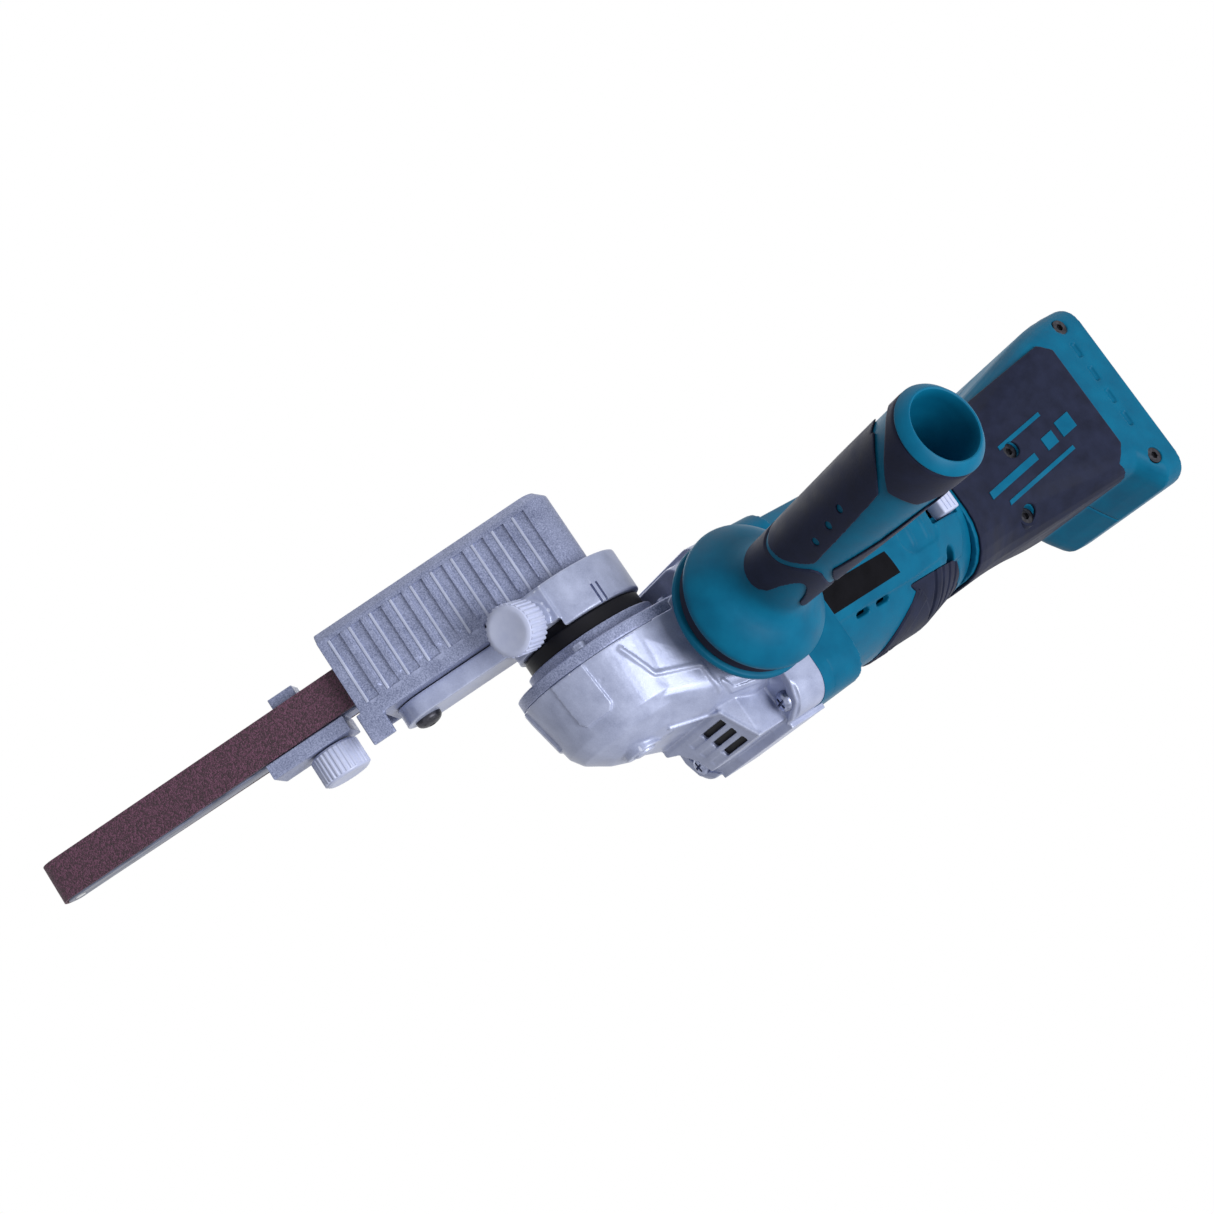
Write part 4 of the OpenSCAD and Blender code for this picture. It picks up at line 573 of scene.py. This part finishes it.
# The vents lie on the handle's side of a step that ends short of the far flank
vent = {"rows": (-27.9, -32.3, -36.6), "wide": 2.4, "across": (2.2, 18.6), "deep": (8, 25), "edge": 0.5,
        "fill": ((15.2, -26.6), (20.0, -38.4), (27, -38.4), (27, -26.6)), "fillHalf": 7.4,
        "farCut": ((-45, -11.4), (-33.5, -11.4), (-27.6, -16), (-25.2, -24), (-24.5, -45), (-45, -45)),
        "farReach": (0, 32.4), "shadeSheetBack": 1.4, "shadeSheetAcross": (2, 18.8)}
piece = copyNode("gear_housing", "gearHeadCasting")
pads = []
for side in (1, -1):
    for ridge in gearHead["ridges"]:
        outline = strokeOutline(ridge, gearHead["ridgeWide"])
        tool = bothFlanks("ridge", outline, *gearHead["flankReach"], side)
        pads.append(liftedSkin(piece, tool, gearHead["ridgeRise"]))
    # stand the outline up on the nose, facing out along its turn
    outward = (spindleFrame @ Matrix.Rotation(math.radians(side * gearHead["noseTurn"]), 4, "Z")
               @ Matrix.Rotation(math.radians(90), 4, "Y") @ Matrix.Rotation(math.radians(90), 4, "Z"))
    tool = layIn(addOutline("nosePad", gearHead["nosePad"], *gearHead["noseReach"]), outward)
    pads.append(liftedSkin(piece, tool, gearHead["padRise"]))
    corners = [(s, side * h) for s, h in gearHead["rim"]][::side]
    rimFront = gearHead["rimSeat"] - gearHead["rimRise"]
    rim = addOutline("rim", corners, rimFront, gearHead["rimRear"], gearHead["rimEdge"])
    pads.append(layIn(rim, motorFrame))
    plug = turnProfile("screwPlug", gearHead["plug"], 24)  # the plate's front screws end inside the casting
    pads.append(layIn(plug, spindleFrame @ Matrix.Rotation(math.radians(side * gearHead["plugTurn"]), 4, "Z")
                      @ Matrix.Translation((gearHead["plugOut"] * mm, 0, 0))))
for start, end in zip(gearHead["lip"], gearHead["lip"][1:]):
    pads.append(addBar("lip", start, end, gearHead["lipWide"], flankFrame))
cutAway(piece, [layIn(addOutline("farCut", vent["farCut"], *vent["farReach"]), motorFrame)])
for side in (1, -1):
    for panel in ("flankPanel", "rearPanel"):
        tool = bothFlanks("panelTool", gearHead[panel], *gearHead["flankReach"], side)
        sinkInto(piece, tool, gearHead["sink"])
vents = []
for row in vent["rows"]:
    low = (row - vent["wide"] / 2, vent["across"][0], vent["deep"][0])
    high = (row + vent["wide"] / 2, vent["across"][1], vent["deep"][1])
    vents.append(layIn(addBlock("vent", low, high, vent["edge"]), motorFrame))
joinTo(vents[0], vents[1:])
fill = layIn(addOutline("ventFill", vent["fill"], -vent["fillHalf"], vent["fillHalf"]), flankFrame)
cutAway(fill, [copyOf(vents[0], "ventCopy")])
cutAway(piece, vents[:1])
joinTo(piece, pads + [fill])
roundOver(piece, gearHead)
fit(piece, "grinder", castAluminium, "cast_aluminium", "gear_housing")
corners = [(m + vent["shadeSheetBack"], s) for m, s in vent["fill"]]  # painted shade: a black sheet behind the vents stands in for the dark inside
ventShade = layIn(addOutline("ventShadeSheet", corners, *vent["shadeSheetAcross"]), flankFrame)
fit(ventShade, "grinder", blackNylon, "black_plastic")

# Front lip of the motor housing, drawn over the rear of the flange
frontLip = {"from": 45.2, "to": 50.2, "low": -41.2, "outside": 60, "rise": 0.3}
ring = addBlock("ringTool", (frontLip["low"], -frontLip["outside"], frontLip["from"]),
                (frontLip["outside"], frontLip["outside"], frontLip["to"]))
layIn(ring, motorFrame)
flange = copyNode("gear_housing", "flange")
piece = liftedSkin(flange, ring, frontLip["rise"])
pick(flange)
bpy.ops.object.delete()
piece.name = "motorFrontLip"
shadeEdges(piece, 30)
fit(piece, "grinder", tealNylon, "teal_plastic")
print("castings done")


# Motor housing: a raised panel on each flank, with the switch track, the label's seat and a screw recess
motorShell = {
    "voxel": 0.5, "passes": 4, "keep": 0.3, "panelRise": 0.8, "labelRise": 1.0, "flankReach": (12, 60),
    "panel": ((65.6, -20.5), (118, -20.5), (132, -19.5), (142, -24), (148.5, -22), (151.5, -13), (151.5, 12),
              (146, 18), (65.6, 18)),
    "track": ((114.5, 6), (114.5, -8.5), (116, -11.5), (119, -13.6), (131.5, -13.6), (134.5, -12), (136, -9),
              (136, 6)),
    "bars": ((120.6, 122), (128.4, 129.8)), "barSpan": (-11, 4), "barRise": 0.4,
    "wellAt": (138.8, -20.6), "wellLong": 2.6, "wellHigh": 3.9, "wellFloor": 21, "wellSteps": 24,
    "label": ((66.5, -7.2), (105.2, -7.2), (108.6, -16.6), (66.5, -17.4))}
piece = copyNode("motor_housing", "motorHousingShell")
plainShell = copyOf(piece, "plainShell")
pads = []
for side in (1, -1):
    tool = bothFlanks("panelTool", motorShell["panel"], *motorShell["flankReach"], side)
    pads.append(liftedSkin(piece, tool, motorShell["panelRise"]))
track = layIn(addOutline("trackTool", motorShell["track"], *motorShell["flankReach"]), flankFrame)
cutAway(pads[0], [track])
oval = []
for i in range(motorShell["wellSteps"]):
    turn = i * 2 * math.pi / motorShell["wellSteps"]
    oval.append((motorShell["wellAt"][0] + motorShell["wellLong"] * math.cos(turn),
                 motorShell["wellAt"][1] + motorShell["wellHigh"] * math.sin(turn)))
well = layIn(addOutline("wellTool", oval, motorShell["wellFloor"], motorShell["flankReach"][1]), flankFrame)
label = layIn(addOutline("ratingLabelFilm", motorShell["label"], *motorShell["flankReach"]), flankFrame)
film = liftedSkin(piece, label, motorShell["labelRise"])
joinTo(piece, pads)
applyModifier(piece, "REMESH", mode="VOXEL", voxel_size=motorShell["voxel"] * mm)
cutAway(piece, [well])
bars = []
low, high = motorShell["barSpan"]
for start, end in motorShell["bars"]:
    corners = ((start, low), (end, low), (end, high), (start, high))
    bar = layIn(addOutline("bar", corners, *motorShell["flankReach"]), flankFrame)
    bars.append(liftedSkin(plainShell, bar, motorShell["barRise"]))
joinTo(piece, bars)
roundOver(piece, motorShell)
fit(piece, "grinder", tealNylon, "teal_plastic", "motor_housing")
film.name = "ratingLabelFilm"
shadeEdges(film, 30)
fit(film, "grinder", labelFilm, "label_film", "rating_label")

# Ridged rubber bumper under the rear of the motor
bumper = {"voxel": 0.3, "passes": 3, "keep": 0.4, "flankReach": (0.5, 60), "skin": 0.7,
          "ridgeRise": 1.8, "ridgeWide": 1.2, "ridges": (2.4, 4.8, 7.2, 9.6),
          "front": ((117.5, -22.6), (116.6, -24.3), (113.4, -27.6), (109.4, -30.6), (104.2, -34.4),
                    (101, -36.9)),
          "rear": ((132, -36.9), (124, -30), (119, -22.6))}
piece = copyNode("rear_bumper", "rearBumperRubber")
for side in (1, -1):  # the rubber sweeps forwards under the motor, with ridges along its edge
    patches = [(bumper["front"] + bumper["rear"], bumper["skin"])]
    for shift in bumper["ridges"]:
        line = [(m + shift, s) for m, s in bumper["front"][1:]]
        patches.append((strokeOutline(line, bumper["ridgeWide"]), bumper["ridgeRise"]))
    rubber = []
    for corners, rise in patches:
        tool = bothFlanks("patch", corners, *bumper["flankReach"], side)
        rubber.append(liftedSkin(plainShell, tool, rise))
    joinTo(piece, rubber)
roundOver(piece, bumper)
fit(piece, "grinder", gripRubber, "grip_rubber", "rear_bumper")
pick(plainShell)
bpy.ops.object.delete()

# Slide switch: pale button with three thumb ridges
switch = {"low": (-6.4, 27.6, 143.1), "high": (1.4, 35.4, 151.9), "edge": 0.9,
          "ridges": (145.0, 147.2, 149.4), "ridgeWide": 0.9, "ridgeInset": 0.8, "ridgeFrom": 34,
          "ridgeTop": 35.85, "ridgeEdge": 0.3}
piece = addBlock("slideSwitchButton", switch["low"], switch["high"], switch["edge"])
ridges = []
for m in switch["ridges"]:
    low = (switch["low"][0] + switch["ridgeInset"], switch["ridgeFrom"], m)
    high = (switch["high"][0] - switch["ridgeInset"], switch["ridgeTop"], m + switch["ridgeWide"])
    ridges.append(addBlock("ridge", low, high, switch["ridgeEdge"]))
joinTo(piece, ridges)
layIn(piece, motorFrame)
shadeEdges(piece)
fit(piece, "switch", greyAbs, "grey_plastic", "switch_slider")

# Rear handle shells and their soft grip panels, with plain inlaid stripes and blocks
handle = {"voxel": 0.55, "passes": 4, "keep": 0.35}
grip = {"voxel": 0.45, "passes": 5, "keep": 0.35, "inlayRise": 0.35, "flankReach": (8, 60), "inlays": (
    ((176, -10.5), (206, -6.2), (206, -3.0), (176, -7.3)),
    ((184, -15.8), (222, -10.4), (222, -8.6), (184, -14.0)),
    ((212, -5.4), (218, -4.5), (218, 1.2), (212, 0.3)),
    ((221, -4.0), (229, -2.8), (229, 4.2), (221, 3.0)),
    ((194, 5.0), (218, 8.4), (218, 10.2), (194, 6.8)))}
for side, label in ((-1, "left"), (1, "right")):
    piece = copyNode("handle_shell_" + label, "handleShell" + label.title())
    roundOver(piece, handle)
    fit(piece, "grinder", tealNylon, "teal_plastic", "handle_shell_" + label)
    piece = copyNode("grip_panel_" + label, "gripPanel" + label.title())
    inlays = []
    for corners in grip["inlays"]:
        tool = bothFlanks("inlay", corners, *grip["flankReach"], side)
        inlays.append(liftedSkin(piece, tool, grip["inlayRise"]))
    joinTo(inlays[0], inlays[1:])
    inlays[0].name = "gripInlay" + label.title()
    roundOver(piece, grip)
    fit(piece, "grinder", gripRubber, "grip_rubber", "grip_panel_" + label)
    shadeEdges(inlays[0], 30)
    fit(inlays[0], "grinder", tealNylon, "teal_plastic")

# Rubber linings round the sunken screws on the near flank: places along and up, and the grip's height there
lining = {"wells": ((199, 3, 27.6), (192, -22, 21.4)), "inner": 3.42, "outer": 4.7, "down": 3, "up": 0.4}
wells = []
for m, s, top in lining["wells"]:
    low, high = top - lining["down"], top + lining["up"]
    inner, outer = lining["inner"], lining["outer"]
    profile = ((inner, low), (inner, high), (outer, high), (outer, low), (inner, low))
    well = turnProfile("screwWells", profile, 40)
    wells.append(layIn(well, motorFrame @ Matrix.Translation((s * mm, 0, m * mm))
                       @ Matrix.Rotation(math.radians(-90), 4, "X")))
joinTo(wells[0], wells[1:])
shadeEdges(wells[0], 30)
fit(wells[0], "grinder", gripRubber, "grip_rubber")
print("motor and rear handle done")

# Side handle: flared guard, hollow grip and end ring turned as one core
sideCore = {"steps": 96, "profile": (
    (0, 79.7), (9.0, 79.7), (9.3, 80.2), (11.3, 165), (11.5, 168.2), (11.75, 168.8), (12.2, 169.0),
    (12.7, 168.8), (14.9, 166.4), (15.15, 165.9), (15.0, 165.5), (14.6, 165.4), (14.4, 160), (14.3, 150),
    (14.2, 141), (13.6, 112), (13.1, 90), (12.8, 78), (12.7, 70.5), (12.9, 68.6), (13.6, 66.6), (15.2, 64.4),
    (17.9, 62.5), (20.6, 60.7), (22.9, 58.6), (24.6, 56.5), (25.8, 54.9), (26.4, 54.0), (26.65, 53.2),
    (26.65, 52.2), (26.3, 51.6), (25.6, 51.5), (0, 51.5))}
piece = turnProfile("sideHandleCore", sideCore["profile"], sideCore["steps"])
layIn(piece, sideFrame)
shadeEdges(piece, 40)
fit(piece, "grinder", tealNylon, "teal_plastic", "side_handle_core")

# Soft sleeve: one turned skin, parted by gaps that show the core, with dimples for the thumb.
# A gap's outline runs up its lower side from the neck to the end band, and back down its upper side.
sideSleeve = {
    "steps": 120, "voxel": 0.34, "passes": 3, "keep": 0.4, "turn": 42.5, "cutReach": (-0.5, 22),
    "profile": ((12.0, 69.0), (13.0, 69.0), (13.35, 69.8), (13.45, 76), (13.6, 84), (14.0, 98), (14.35, 112),
                (14.8, 130), (15.0, 146), (15.2, 158), (15.25, 164.4), (15.05, 165.2), (14.6, 165.4),
                (12.6, 165.4), (12.0, 69.0)),
    "gapNeck": ((0, 98.2), (2, 97.6), (5.6, 93.7), (9.3, 89.3), (12.1, 86.4), (13.2, 85), (16, 83.6),
                (16, 86), (13.1, 87.7), (11.7, 89.5), (9.5, 92), (6.4, 96.3)),
    "gapLower": ((4.3, 99.9), (3.6, 101.9), (8.0, 123), (9.8, 144.2), (10.8, 146.4), (12.4, 150),
                 (14.5, 153), (17, 154)),
    "gapUpper": ((3.9, 99.9), (2.9, 101.9), (4.4, 123), (6.1, 144.6), (6.9, 145.8), (9.75, 149.5),
                 (12.6, 152.7), (14.5, 154.4), (17, 154.8)),
    "gapBand": ((17, 161.4), (15, 161.2), (13.3, 158.6), (11.6, 155.9), (8.6, 151.9), (5.1, 148.1),
                (0, 148.4)),
    "arch": ((16, 60), (16, 69.6), (12.3, 70.3), (10.2, 71.3), (7.9, 73), (5.7, 76.1), (5.0, 79.6),
             (4.1, 82.9), (2.4, 87), (1.2, 88.6), (0, 89.2)),
    "dimple": 1.45, "dimpleReach": (10, 20), "dimples": ((109.9, 9.8), (119.4, 5.6), (128, -0.4))}
gapSides = []
for part in ("gapLower", "gapUpper"):
    gapSides.append(sideSleeve["gapNeck"] + sideSleeve[part] + sideSleeve["gapBand"])
# stand an outline up along the handle, facing out from its axis
upright = Matrix.Rotation(math.radians(90), 4, "Z") @ Matrix.Rotation(math.radians(90), 4, "X")
piece = turnProfile("sideSleeve", sideSleeve["profile"], sideSleeve["steps"])
tools = []
for turn in (sideSleeve["turn"], sideSleeve["turn"] + 180):
    for name, (lower, upper) in (("gap", gapSides), ("arch", (sideSleeve["arch"], sideSleeve["arch"]))):
        corners = list(lower) + [(-u, place) for u, place in upper[::-1] if u]
        tool = addOutline(name, corners, *sideSleeve["cutReach"])
        tools.append(layIn(tool, Matrix.Rotation(math.radians(turn), 4, "Z") @ upright))
low, high = sideSleeve["dimpleReach"]
for place, turn in sideSleeve["dimples"]:
    wide = sideSleeve["dimple"]
    tool = turnProfile("dimple", ((0, low), (wide, low), (wide, high), (0, high)), 24)
    facing = Matrix.Rotation(math.radians(turn), 4, "Z")
    tools.append(layIn(tool, facing @ Matrix.Translation((0, 0, place * mm))
                       @ Matrix.Rotation(math.radians(90), 4, "Y")))
cutAway(piece, tools)
roundOver(piece, sideSleeve)
layIn(piece, sideFrame)
fit(piece, "grinder", gripRubber, "grip_rubber", "side_grip_sleeve")

# Guard's rear disc, its damper ring and the black neck collar: turned with eased rims
turned = {
    "side_rear_disc": ("guardRearDisc", sideFrame, tealNylon, "teal_plastic", (
        (4.1, 41.7), (11.6, 41.7), (12, 42.0), (12, 42.4), (25.4, 42.4), (26.1, 42.7), (26.5, 43.4),
        (26.5, 44.4), (26.1, 45.1), (25.4, 45.45), (4.1, 45.45), (4.1, 41.7))),
    "side_damper_ring": ("guardDamper", sideFrame, gripRubber, "grip_rubber", (
        (4.1, 45.5), (24.2, 45.5), (24.9, 46.2), (24.3, 47.6), (24.1, 48.5), (24.3, 49.4), (24.9, 50.8),
        (24.2, 51.48), (4.1, 51.48), (4.1, 45.5))),
    "neck_collar": ("neckCollar", spindleFrame, blackNylon, "black_plastic", (
        (17.1, 22), (23.1, 22), (23.5, 22.4), (23.5, 27.1), (23.1, 27.6), (20.3, 27.6), (20, 27.9),
        (20, 43.6), (19.6, 44), (17.1, 44), (17.1, 22)))}
for node, (name, place, material, slot, profile) in turned.items():
    piece = turnProfile(name, profile, 96)
    layIn(piece, place)
    shadeEdges(piece, 30)
    fit(piece, "grinder", material, slot, node)
print("side handle done")


# Thumb knobs: fine ribs round the flank, each with a short flat crest, and a plain, slightly dished face
knob = {"ribs": 30, "rib": ((0, "inner"), (0.3, "outer"), (0.62, "outer"), (0.92, "inner")), "outer": 9.3,
        "inner": 8.72, "long": 11.5, "ribInset": 0.9, "ribEdge": 0.25, "cap": (
            (0, 0), (7.9, 0), (8.55, 0.5), (8.9, 1.3), (8.9, 10.3), (8.6, 11.05), (7.9, 11.45), (6.9, 11.5),
            (5.8, 11.3), (0, 11.2))}
for node, name, place, body in (("clamp_knob", "clampKnob", clampFrame, "clamp"),
                                ("tracking_knob", "trackingKnob", trackFrame, "tracking")):
    star = []
    for i in range(knob["ribs"]):
        for part, reach in knob["rib"]:
            turn = 2 * math.pi * (i + part) / knob["ribs"]
            star.append((knob[reach] * math.cos(turn), knob[reach] * math.sin(turn)))
    piece = addOutline(name, star, knob["ribInset"], knob["long"] - knob["ribInset"], knob["ribEdge"], 2)
    joinTo(piece, [turnProfile("cap", knob["cap"], 60)])
    layIn(piece, place)
    shadeEdges(piece, 34)
    fit(piece, body, greyAbs, "grey_plastic", node)

# Screws: pan heads with a cross recess on the flange, each stopped at its own turn
screw = {"places": ((-34, 32), (-34, -32), (20.5, 36.5), (20.5, -36.5)), "seat": 33, "top": 3, "turn": 20,
         "turnByHeight": 3, "crossLong": 4.2, "crossWide": 0.95, "crossDeep": 1.5,
         "profile": ((0, -26), (1.6, -26), (2, -25.4), (2, 0), (3.8, 0), (3.8, 1.0), (3.55, 1.9), (2.9, 2.6),
                     (2.0, 2.92), (0, 3.0))}
heads = []
for s, h in screw["places"]:
    head = turnProfile("head", screw["profile"], 40)
    cross = []
    for a, b in ((screw["crossLong"], screw["crossWide"]), (screw["crossWide"], screw["crossLong"])):
        cross.append(addBlock("cross", (-a / 2, -b / 2, screw["top"] - screw["crossDeep"]),
                              (a / 2, b / 2, screw["top"] + 1)))
    cutAway(head, cross)
    turn = screw["turn"] + screw["turnByHeight"] * s
    layIn(head, motorFrame @ Matrix.Translation((s * mm, h * mm, screw["seat"] * mm))
          @ Matrix.Rotation(math.radians(180), 4, "X") @ Matrix.Rotation(math.radians(turn), 4, "Z"))
    heads.append(head)
joinTo(heads[0], heads[1:])
heads[0].name = "flangeScrews"
shadeEdges(heads[0], 30)
fit(heads[0], "grinder", zincSteel, "steel", "flange_screws")

# Lock button: a domed metal cap on its pin
lock = {"out": 11.5, "turn": 30, "profile": (
    (0, 1.8), (1.95, 1.8), (1.95, -19.65), (3.7, -19.7), (4.0, -20.2), (4.0, -21.6), (3.7, -22.2),
    (3.0, -22.5), (0, -22.6))}
piece = turnProfile("lockButtonCap", lock["profile"], 48)
layIn(piece, spindleFrame @ Matrix.Rotation(math.radians(lock["turn"]), 4, "Z")
      @ Matrix.Translation((lock["out"] * mm, 0, 0)))
shadeEdges(piece, 40)
fit(piece, "lock", castAluminium, "cast_aluminium", "lock_button")

# Sanding belt: grit outside and twill inside
belt = {"tip": 199, "slackFrom": 60, "slackTo": 150}
piece = copyNode("abrasive_belt", "sandingBelt")
piece.data.materials.clear()
piece.data.materials.append(gritCloth)
piece.data.materials.append(twillBack)
middle = [fileFrame @ Vector((x * mm, 0, 0)) for x in (0, belt["tip"])]
run = (middle[1] - middle[0]).normalized()
for face in piece.data.polygons:
    along = min(max((face.center - middle[0]).dot(run), 0), (middle[1] - middle[0]).length)
    out = face.center - middle[0] - run * along
    out.z = 0
    if face.normal.dot(out) < 0 and abs(face.normal.z) < 0.5:
        face.material_index = 1
shadeEdges(piece, 30)
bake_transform(piece)
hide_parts("abrasive_belt")
print("piece", piece.name, len(piece.data.polygons), "faces")

# Arm bar and tension guide keep their solids' shape with eased edges
eased = {"arm_bar": ("armBar", "arm", stripSteel, "steel", 0.35),
         "tension_guide": ("tensionGuide", "file_head", zincSteel, "steel", 0.5)}
for node, (name, body, material, slot, width) in eased.items():
    piece = copyNode(node, name)
    pick(piece)
    bpy.ops.object.mode_set(mode="EDIT")
    bpy.ops.mesh.select_all(action="SELECT")
    bpy.ops.mesh.dissolve_limited(angle_limit=math.radians(2))
    bpy.ops.object.mode_set(mode="OBJECT")
    applyModifier(piece, "BEVEL", width=width * mm, segments=2, limit_method="ANGLE",
                  angle_limit=math.radians(40))
    shadeEdges(piece, 30)
    fit(piece, body, material, slot, node)

# Springs: the wire coils of the lock button and the arm, each on its own mesh
springs = {"lock_spring": ("lockSpringWire", "grinder", "lock_press"),
           "tension_spring": ("tensionSpringWire", "file_head", "arm_tension")}
for node, (name, body, push) in springs.items():
    piece = copyNode(node, name)
    shadeEdges(piece, 50)
    fit(piece, body, groundSteel, "spring_steel", node)
    joint = next(row for row in frame["joints"] if row["name"] == push)
    axis = Vector(joint["axis"])
    reach = [axis.dot(vertex.co) for vertex in piece.data.vertices]
    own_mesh(piece)
print("knobs, screws, belt and springs done")

# Camera where the photograph was taken from, low on the handle's side and rolled
view = {"place": (383.5, 524.84, -19.85), "turn": (100.018, 33.613, 151.395), "lens": 53.14, "sensor": 36}
pickNothing()
bpy.ops.object.camera_add(location=[v * mm for v in view["place"]],
                          rotation=[math.radians(v) for v in view["turn"]])
camera = bpy.context.object
camera.name = "photoCamera"
camera.data.lens = view["lens"]
camera.data.sensor_width = view["sensor"]
camera.data.clip_start = 0.01
bpy.context.scene.camera = camera

# Soft panels: the main one low on the handle's side as in the photograph, weaker ones above and behind
lamps = {"sideKey": {"place": (-0.02, 1.0, -0.42), "size": 0.6, "power": 12},
         "topFill": {"place": (-0.25, 0.2, 1.1), "size": 1.0, "power": 3},
         "backFill": {"place": (-0.3, -0.9, 0.55), "size": 0.8, "power": 3}}
lampsAim = (0.02, 0, 0.05)  # near the middle of the tool
for name, lamp in lamps.items():
    pickNothing()
    aim = Vector(lampsAim) - Vector(lamp["place"])
    turn = aim.to_track_quat("-Z", "Y").to_euler()
    bpy.ops.object.light_add(type="AREA", location=lamp["place"], rotation=turn)
    panel = bpy.context.object
    panel.name = name
    panel.data.size = lamp["size"]
    panel.data.energy = lamp["power"]

# Pale floor: it takes the object's shadow, and lets light and sight through from below, where the camera is
floorLook = {"size": 4, "drop": 0.15, "tone": "#F1F1F3", "rough": 0.9}
pickNothing()
bpy.ops.mesh.primitive_plane_add(size=floorLook["size"], location=(0, 0, -floorLook["drop"] * mm))
floor = bpy.context.object
floor.name = "paleFloor"
floorPaint = bpy.data.materials.new("paleFloorPaint")
floorPaint.use_nodes = True
tree = floorPaint.node_tree
shader = tree.nodes["Principled BSDF"]
shader.inputs["Base Color"].default_value = hexColour(floorLook["tone"])
shader.inputs["Roughness"].default_value = floorLook["rough"]
side = addNode(tree, "ShaderNodeNewGeometry")
clear = addNode(tree, "ShaderNodeBsdfTransparent")
oneSided = addNode(tree, "ShaderNodeMixShader", {}, {
    0: side.outputs["Backfacing"], 1: shader.outputs["BSDF"], 2: clear.outputs["BSDF"]})
tree.links.new(oneSided.outputs["Shader"], tree.nodes["Material Output"].inputs["Surface"])
floor.data.materials.append(floorPaint)
floor.visible_diffuse = False
floor.visible_glossy = False
floor.visible_transmission = False
floor.visible_shadow = False

# White surroundings for the eye and for reflections, softer light for the rest
studio = {"light": 0.29, "seen": 1.0}
surroundings = bpy.data.worlds.new("whiteStudio")
bpy.context.scene.world = surroundings
surroundings.use_nodes = True
tree = surroundings.node_tree
rays = addNode(tree, "ShaderNodeLightPath")
seen = addNode(tree, "ShaderNodeMath", {"operation": "MAXIMUM"},
               {0: rays.outputs["Is Camera Ray"], 1: rays.outputs["Is Glossy Ray"]})
seenToo = addNode(tree, "ShaderNodeMath", {"operation": "MAXIMUM"},
                  {0: seen.outputs["Value"], 1: rays.outputs["Is Transmission Ray"]})
level = addNode(tree, "ShaderNodeMapRange", {"To Min": studio["light"], "To Max": studio["seen"]},
                {"Value": seenToo.outputs["Value"]})
tree.links.new(level.outputs["Result"], tree.nodes["Background"].inputs["Strength"])
tree.nodes["Background"].inputs["Color"].default_value = (1, 1, 1, 1)
bpy.context.scene.view_settings.view_transform = "Standard"
print("camera, lamps, floor and world")
